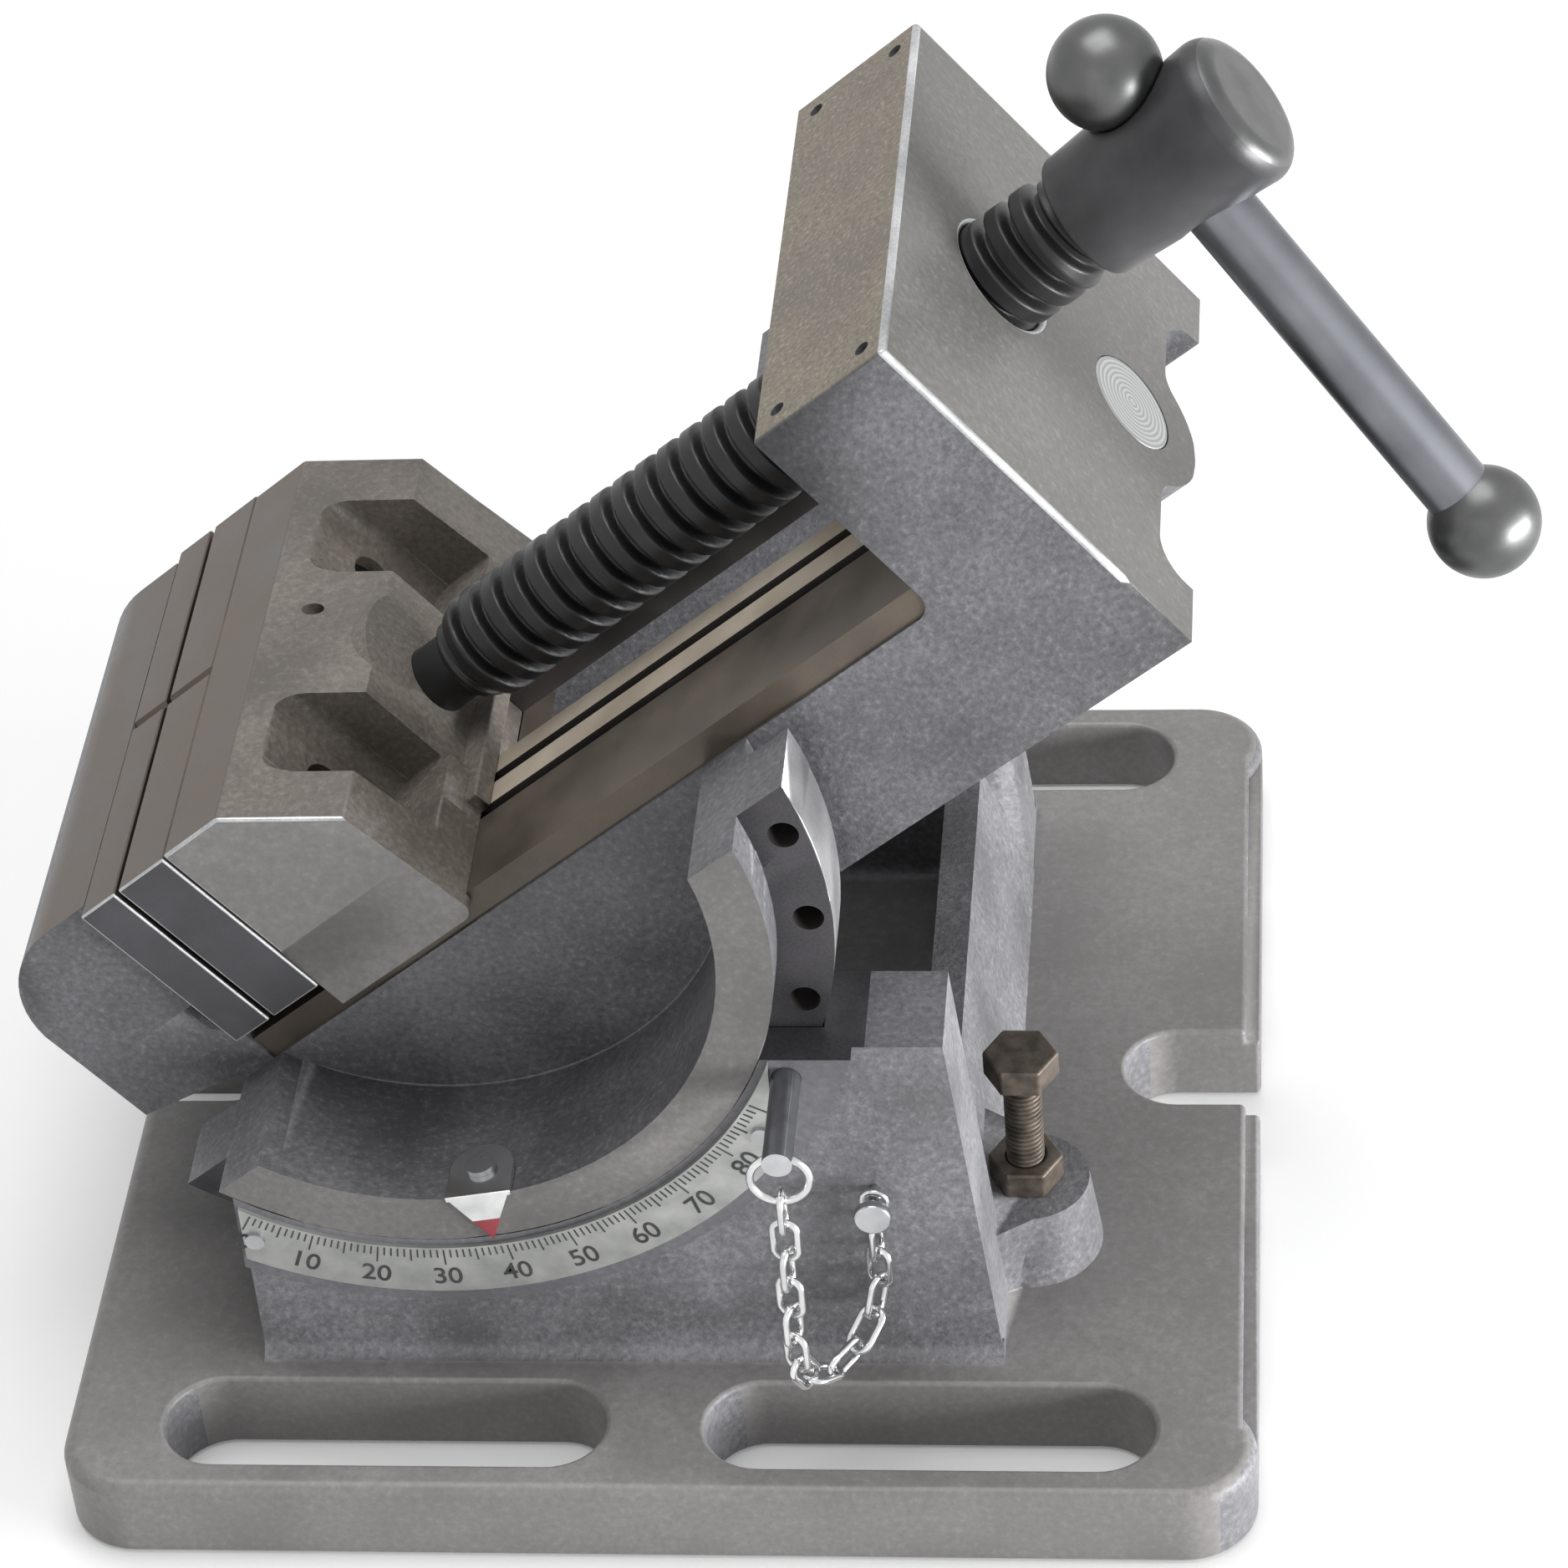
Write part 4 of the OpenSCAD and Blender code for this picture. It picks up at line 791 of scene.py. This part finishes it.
def make_lead_screw():
    """Blacked screw with a five millimetre trapezoid thread, and a duller head that keeps its cross hole, its
    end painted lighter as light from the lamp's side.
    """
    shape = merged_copy("lead_screw")
    head_u = THREAD_U + THREAD_L - 0.5

    def under_thread(face):
        spot = TO_VISE @ face.calc_center_median() / MM
        on_shank = THREAD_U < spot.x < THREAD_U + THREAD_L
        return on_shank and math.hypot(spot.y, spot.z) > SCREW_R - SLACK or near(spot.x, THREAD_U, 0.01)

    def screw_finish(centre, normal):
        if (TO_VISE @ centre).x < head_u * MM:
            return BLACKED
        # The head's end, facing the lamp, is painted lighter
        return TUMBLED_AND_LIT if normal.dot(ALONG) > 0.7 else PHOSPHATE

    bmesh.ops.delete(shape, geom=[face for face in shape.faces if under_thread(face)], context="FACES")
    mesh = eased("lead_screw_dressed", shape, [BLACKED, PHOSPHATE, TUMBLED_AND_LIT], screw_finish,
                 lambda edge, angle: 1, width_mm=0.5, segments=2)
    sizes = {"Outer radius": SCREW_R * MM, "Root radius": 7.2 * MM, "Pitch": 5 * MM, "Length": THREAD_L * MM,
             "Crest share": 0.25, "Root share": 0.39, "Steps along": 541, "Steps round": 65}
    thread = thread_mesh("lead_thread", BLACKED, sizes)
    join_thread(mesh, thread, VISE @ Matrix.Translation((THREAD_U * MM, 0, 0)), NOSE_R * MM, SCREW_R * MM)
    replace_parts(put("lead_screw_dressed", mesh, "screw"), "lead_screw")


def make_stop_bolt():
    """Hexagon bolt with a one millimetre thread down its shank."""
    low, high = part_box("stop_bolt")
    middle = middle_of("stop_bolt")
    head_low = high.z - STOP_HEAD_H * MM
    shape = merged_copy("stop_bolt")
    plain = [face for face in shape.faces if face.calc_center_median().z < head_low - 1e-5
             and abs(face.normal.z) < 0.5]
    bmesh.ops.delete(shape, geom=plain, context="FACES")
    mesh = eased("stop_bolt_dressed", shape, [OILED], lambda centre, normal: OILED, lambda edge, angle: 1,
                 width_mm=0.5, segments=2)
    sizes = {"Outer radius": STOP_R * MM, "Root radius": 2.65 * MM, "Pitch": 1 * MM,
             "Length": head_low - low.z, "Crest share": 0.12, "Root share": 0.4,
             "Steps along": 281, "Steps round": 33}
    thread = thread_mesh("stop_thread", OILED, sizes)
    upright = Matrix.Translation((middle.x, middle.y, low.z)) @ Matrix.Rotation(-math.pi / 2, 4, "Y")
    join_thread(mesh, thread, upright, STOP_R * MM, STOP_R * MM)
    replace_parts(put("stop_bolt_dressed", mesh, "stop"), "stop_bolt")


def chain_path():
    """Pivots of the chain's links, from the pin's ring down, round over the plate and up to the anchor
    screw, with each pivot's twist and the direction that the path's plane faces."""
    ring_low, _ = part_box("pin_ring")
    ring, screw = middle_of("pin_ring"), middle_of("chain_anchor_screw")
    reach = LINK_OUT_W * MM + 2 * SIDE_CLEAR * MM
    start = Vector((ring.x, ring.y, ring_low.z + PIN_RING_WIRE * MM + SIDE_CLEAR * MM / 2))
    end = Vector((screw.x, -CHEEK_Y * MM - reach / 2, screw.z + ANCHOR_R * MM + SIDE_CLEAR * MM / 2))
    span = Vector((end.x - start.x, end.y - start.y, 0))
    radius = span.length / 2
    turn_z = (BASE_T + CHAIN_LOW) * MM + radius
    fall, turn, rise = start.z - turn_z, math.pi * radius, end.z - turn_z
    length = fall + turn + rise
    count = 2 * math.ceil(length / (2 * LINK_PITCH * MM))
    quarter_left = math.pi / 2 - math.atan2(span.y, span.x)
    pivots, twist = [], []
    for i in range(count + 1):
        gone = length * i / count
        to_fall, risen = max(fall - gone, 0), max(gone - fall - turn, 0)
        swing = math.pi * min(max((gone - fall) / turn, 0), 1)
        out = radius * (1 - math.cos(swing))
        height = turn_z - radius * math.sin(swing) + to_fall + risen
        pivots.append(Vector((start.x, start.y, 0)) + span.normalized() * out + Vector((0, 0, height)))
        twist.append(quarter_left * (risen / rise - to_fall / fall))
    return pivots, twist, span.normalized().cross(Vector((0, 0, 1)))


def make_chain():
    """Oval nickel links along the chain's path, each turned a quarter from the last."""
    pivots, twist, flat = chain_path()
    path = bpy.data.meshes.new("chain_path")
    path.from_pydata(pivots, [(i, i + 1) for i in range(len(pivots) - 1)], [])
    path.attributes.new("twist", "FLOAT", "POINT").data.foreach_set("value", twist)
    sizes = {"Wire radius": 0.6 * MM, "Link length": 7.8 * MM, "Link width": 4.0 * MM}
    tree, size = new_tree("chain_links", sizes, takes_geometry=True)
    frame_curve = add(tree, "GeometryNodeCurvePrimitiveQuadrilateral", {"Width": size["Link width"],
                                                                        "Height": size["Link length"]})
    nearly_half = 0.4999
    bend = calc(tree, "MULTIPLY", size["Link width"], nearly_half)
    oval = add(tree, "GeometryNodeFilletCurve", {"Curve": frame_curve.outputs[0], "Count": 10,
                                                 "Radius": bend}, mode="POLY")
    wire = add(tree, "GeometryNodeCurvePrimitiveCircle", {"Resolution": 12, "Radius": size["Wire radius"]})
    link = add(tree, "GeometryNodeCurveToMesh", {"Curve": oval.outputs[0], "Profile Curve": wire.outputs[0]})
    upright = add(tree, "GeometryNodeTransform", {"Geometry": link.outputs[0],
                                                  "Rotation": (math.pi / 2, 0, 0)})
    line = add(tree, "GeometryNodeMeshToCurve", {"Mesh": size["Geometry"]})
    halves = add(tree, "GeometryNodeSubdivideCurve", {"Curve": line.outputs[0], "Cuts": 1})
    points = add(tree, "GeometryNodeCurveToPoints", {"Curve": halves.outputs[0]}, mode="EVALUATED")
    parity = calc(tree, "MODULO", add(tree, "GeometryNodeInputIndex").outputs[0], 2)
    middles = add(tree, "GeometryNodeDeleteGeometry", {"Geometry": points.outputs["Points"],
                                                       "Selection": calc(tree, "SUBTRACT", 1, parity)},
                  domain="POINT")
    aim = add(tree, "FunctionNodeAxesToRotation", {0: points.outputs["Tangent"], 1: flat},
              primary_axis="Z", secondary_axis="Y")
    extra = add(tree, "GeometryNodeInputNamedAttribute", {"Name": "twist"}, data_type="FLOAT")
    roll = calc(tree, "ADD", calc(tree, "MULTIPLY", parity, math.pi / 2), extra.outputs[0])
    spin = add(tree, "FunctionNodeAxisAngleToRotation", {"Axis": (0, 0, 1), "Angle": roll})
    turned = add(tree, "FunctionNodeRotateRotation", {0: aim.outputs[0], 1: spin.outputs[0]},
                 rotation_space="LOCAL")
    row = add(tree, "GeometryNodeInstanceOnPoints", {"Points": middles.outputs[0],
                                                     "Instance": upright.outputs[0],
                                                     "Rotation": turned.outputs[0]})
    mesh = grow(tree, row.outputs[0], NICKEL, sizes, path)
    mesh.shade_smooth()
    chain = stand("safety_chain_links", mesh)
    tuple(pivots[-1])
    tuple(pivots[0])
    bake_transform(chain)
    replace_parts(chain, "safety_chain")


def make_degree_marks():
    """Etched degree ticks along the scale's inner edge, longer at five and ten degrees."""
    sizes = {"Inner radius": (SCALE_IN_R + 0.4) * MM, "Short tick": 1.7 * MM, "Five extra": 0.8 * MM,
             "Ten extra": 0.8 * MM, "Tick width": 0.28 * MM, "Tick depth": 0.12 * MM,
             "First angle": SCALE_ZERO, "Count": 91}
    tree, size = new_tree("degree_ticks", sizes)
    row = add(tree, "GeometryNodePoints", {"Count": size["Count"]})
    index = add(tree, "GeometryNodeInputIndex").outputs[0]
    angle = calc(tree, "MULTIPLY_ADD", index, math.radians(1), size["First angle"])
    length = size["Short tick"]
    for every, extra in ((5, "Five extra"), (10, "Ten extra")):
        hit = calc(tree, "COMPARE", calc(tree, "MODULO", index, every), 0, 0.1)
        length = calc(tree, "MULTIPLY_ADD", hit, size[extra], length)
    radius = calc(tree, "MULTIPLY_ADD", length, 0.5, size["Inner radius"])
    x = calc(tree, "MULTIPLY_ADD", radius, calc(tree, "SINE", angle), AXIS.x)
    drop = calc(tree, "MULTIPLY", radius, calc(tree, "COSINE", angle))
    z = calc(tree, "SUBTRACT", AXIS.z, drop)
    place = add(tree, "ShaderNodeCombineXYZ", {0: x, 1: -SCALE_FACE_Y * MM, 2: z})
    spread = add(tree, "GeometryNodeSetPosition", {"Geometry": row.outputs[0], "Position": place.outputs[0]})
    tilt = add(tree, "ShaderNodeCombineXYZ", {1: calc(tree, "MULTIPLY", angle, -1)})
    stretch = add(tree, "ShaderNodeCombineXYZ", {0: size["Tick width"], 1: size["Tick depth"], 2: length})
    bar = add(tree, "GeometryNodeMeshCube", {"Size": (1, 1, 1)})
    ticks = add(tree, "GeometryNodeInstanceOnPoints", {"Points": spread.outputs[0],
                                                       "Instance": bar.outputs[0],
                                                       "Rotation": tilt.outputs[0],
                                                       "Scale": stretch.outputs[0]})
    put("degree_ticks", grow(tree, ticks.outputs[0], INK, sizes), "base")


def make_degree_numbers():
    """Numbers every ten degrees, their feet toward the scale's outer edge; the zero stands clear of the
    rivet."""
    height, stroke, depth = 5.0 * MM, 0.05 * MM, 0.05 * MM
    radius = (SCALE_IN_R + 6.4) * MM
    zero_shift = 0.9
    shape = bmesh.new()
    for number in range(0, 90, 10):
        words = bpy.data.curves.new("degree_number", "FONT")
        words.body = str(number)
        words.size, words.offset, words.extrude = height, stroke, depth
        words.align_x, words.align_y = "CENTER", "CENTER"
        mesh = final_mesh(stand("degree_number", words))
        angle = math.radians(number or zero_shift) + SCALE_ZERO
        right = Vector((math.cos(angle), 0, math.sin(angle)))
        up = Vector((-math.sin(angle), 0, math.cos(angle)))
        spot = AXIS - up * radius - SIDE * SCALE_FACE_Y * MM
        mesh.transform(Matrix.Translation(spot) @ Matrix((right, up, -SIDE)).transposed().to_4x4())
        shape.from_mesh(mesh)
    mesh = bpy.data.meshes.new("degree_numbers")
    shape.to_mesh(mesh)
    shape.free()
    mesh.materials.append(INK)
    put("degree_numbers", mesh, "base")


def make_pointer():
    """Bent nickel pointer with a red tip."""
    turn = POINTER_TURN + TILT
    outward = Vector((math.sin(turn), 0, -math.cos(turn)))
    red_from = AXIS + outward * RED_FROM_R * MM

    def pointer_finish(centre, normal):
        return LACQUER if (centre - red_from).dot(outward) > 0 and normal.y < -0.5 else NICKEL

    shape = merged_copy("angle_pointer")
    split_along(shape, red_from, outward, lambda face: True)
    mesh = eased("angle_pointer_dressed", shape, [NICKEL, LACQUER], pointer_finish,
                 lambda edge, angle: 1, width_mm=0.2, segments=2)
    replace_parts(put("angle_pointer_dressed", mesh, "vise"), "angle_pointer")


def set_camera():
    """Camera at the photograph's angle, its place and turn solved from the photograph."""
    spot = Vector((106.905, -665.023, 626.776)) * MM
    yaw, pitch, roll = -0.131391, 0.684443, -0.0882533
    frame_px, focal_px = 1876, 6170.5
    ahead = Vector((math.sin(yaw) * math.cos(pitch), math.cos(yaw) * math.cos(pitch), -math.sin(pitch)))
    level = Vector((math.cos(yaw), -math.sin(yaw), 0))
    over = level.cross(ahead)
    right = math.cos(roll) * level + math.sin(roll) * over
    up = -math.sin(roll) * level + math.cos(roll) * over
    lens = bpy.data.cameras.new("camera")
    lens.sensor_width = 36
    lens.lens = lens.sensor_width * focal_px / frame_px
    lens.clip_start, lens.clip_end = 0.01, 20
    camera = stand("camera", lens)
    camera.matrix_world = Matrix.Translation(spot) @ Matrix((right, up, -ahead)).transposed().to_4x4()
    bpy.context.scene.camera = camera


def lamp(name, spot, width, height, power):
    """A soft light that faces the vise."""
    aim = Vector((0, 0, 0.08))
    light = bpy.data.lights.new(name, "AREA")
    light.shape = "RECTANGLE"
    light.size, light.size_y = width, height
    light.energy = power
    made = stand(name, light)
    made.location = spot
    made.rotation_mode = "QUATERNION"
    made.rotation_quaternion = (aim - Vector(spot)).to_track_quat("-Z", "Y")


def seen_as(tree, low, high):
    """A strength that is high where the camera looks, straight or by way of metal or glass, and low
    elsewhere."""
    path = add(tree, "ShaderNodeLightPath").outputs
    seen = calc(tree, "MAXIMUM", path["Is Camera Ray"], path["Is Glossy Ray"])
    return ranged(tree, calc(tree, "MAXIMUM", seen, path["Is Transmission Ray"]), 0, 1, low, high)


def set_floor():
    """Pale floor that keeps the vise's shadow and turns white farther away."""
    half, drop, dust_mm = 6, 0.2 * MM, 250
    shadow_to, white_from, shadow_glow, white_glow = 0.4, 1.2, 0.14, 0.72
    floor = bpy.data.meshes.new("floor")
    corners = [(-half, -half, 0), (half, -half, 0), (half, half, 0), (-half, half, 0)]
    floor.from_pydata(corners, [], [(0, 1, 2, 3)])
    material, tree, place = new_finish("pale_floor")
    dust = noise(tree, place, dust_mm, detail=2)
    away = add(tree, "ShaderNodeVectorMath", {0: place}, operation="LENGTH")
    glow = ranged(tree, away.outputs["Value"], shadow_to, white_from, shadow_glow, white_glow)
    set_surface(tree, Roughness=0.9, Base_Color=shaded(tree, dust, 0, "#f4f4f4", 1, "#f6f6f6"),
                Emission_Color=(1, 1, 1, 1),
                Emission_Strength=calc(tree, "MULTIPLY", glow, seen_as(tree, 0, 1)))
    floor.materials.append(material)
    ground = stand("floor", floor)
    ground.location.z = -drop


def set_light():
    """White surroundings and soft studio light, strongest from the handle's side."""
    lamp("key", spot=(0.75, -0.25, 0.1), width=0.6, height=0.18, power=11)
    lamp("front", spot=(-0.2, -1.3, 0.6), width=1.0, height=1.0, power=1.5)
    lamp("top", spot=(-0.1, 0.2, 1.5), width=1.0, height=1.0, power=14)
    world = bpy.data.worlds.new("studio")
    bpy.context.scene.world = world
    world.use_nodes = True
    tree = world.node_tree
    tree.nodes.clear()
    sky = add(tree, "ShaderNodeBackground", {"Color": (1, 1, 1, 1), "Strength": seen_as(tree, 0.32, 1)})
    add(tree, "ShaderNodeOutputWorld", {"Surface": sky.outputs[0]})
    bpy.context.scene.view_settings.view_transform = "Standard"


# End plug, faced in the lathe
FACED = faced_steel("faced_steel_plug", "#9d9e9f", "#c4c5c5",
                    centre=middle_of("end_plug"), ring_mm=0.9, ring_depth_mm=0.03)

# Solids whose shape is already right only need their finish
KEPT = {
    "scale_plate": ETCHED, "scale_rivets": TURNED, "pointer_rivet": TURNED, "fixed_jaw_screws": BLACKED,
    "moving_jaw_screws": BLACKED, "jaw_keeper_plate": JAW, "keeper_screws": BLACKED, "nose_pin": TURNED,
    "handle_bar": BRIGHT, "handle_ball_upper": TUMBLED_AND_LIT, "handle_ball_lower": TUMBLED_AND_LIT, "pin_ring": NICKEL,
}

make_base()
make_vise_body()
make_moving_jaw()
make_lead_screw()
make_stop_bolt()
make_chain()
make_degree_marks()
make_degree_numbers()
make_pointer()
make_jaw_plate("fixed_jaw_plate", "vise")
make_jaw_plate("moving_jaw_plate", "sliding_jaw")
make_small_part("end_plug", "vise", FACED, width_mm=0.5)
make_index_pin()
make_small_part("chain_anchor_screw", "base", TURNED, width_mm=0.35)
make_small_part("stop_nut", "base", OILED, width_mm=0.5)
for node, finish in KEPT.items():
    nodes[node].data.materials.clear()
    nodes[node].data.materials.append(finish)
set_camera()
set_floor()
set_light()
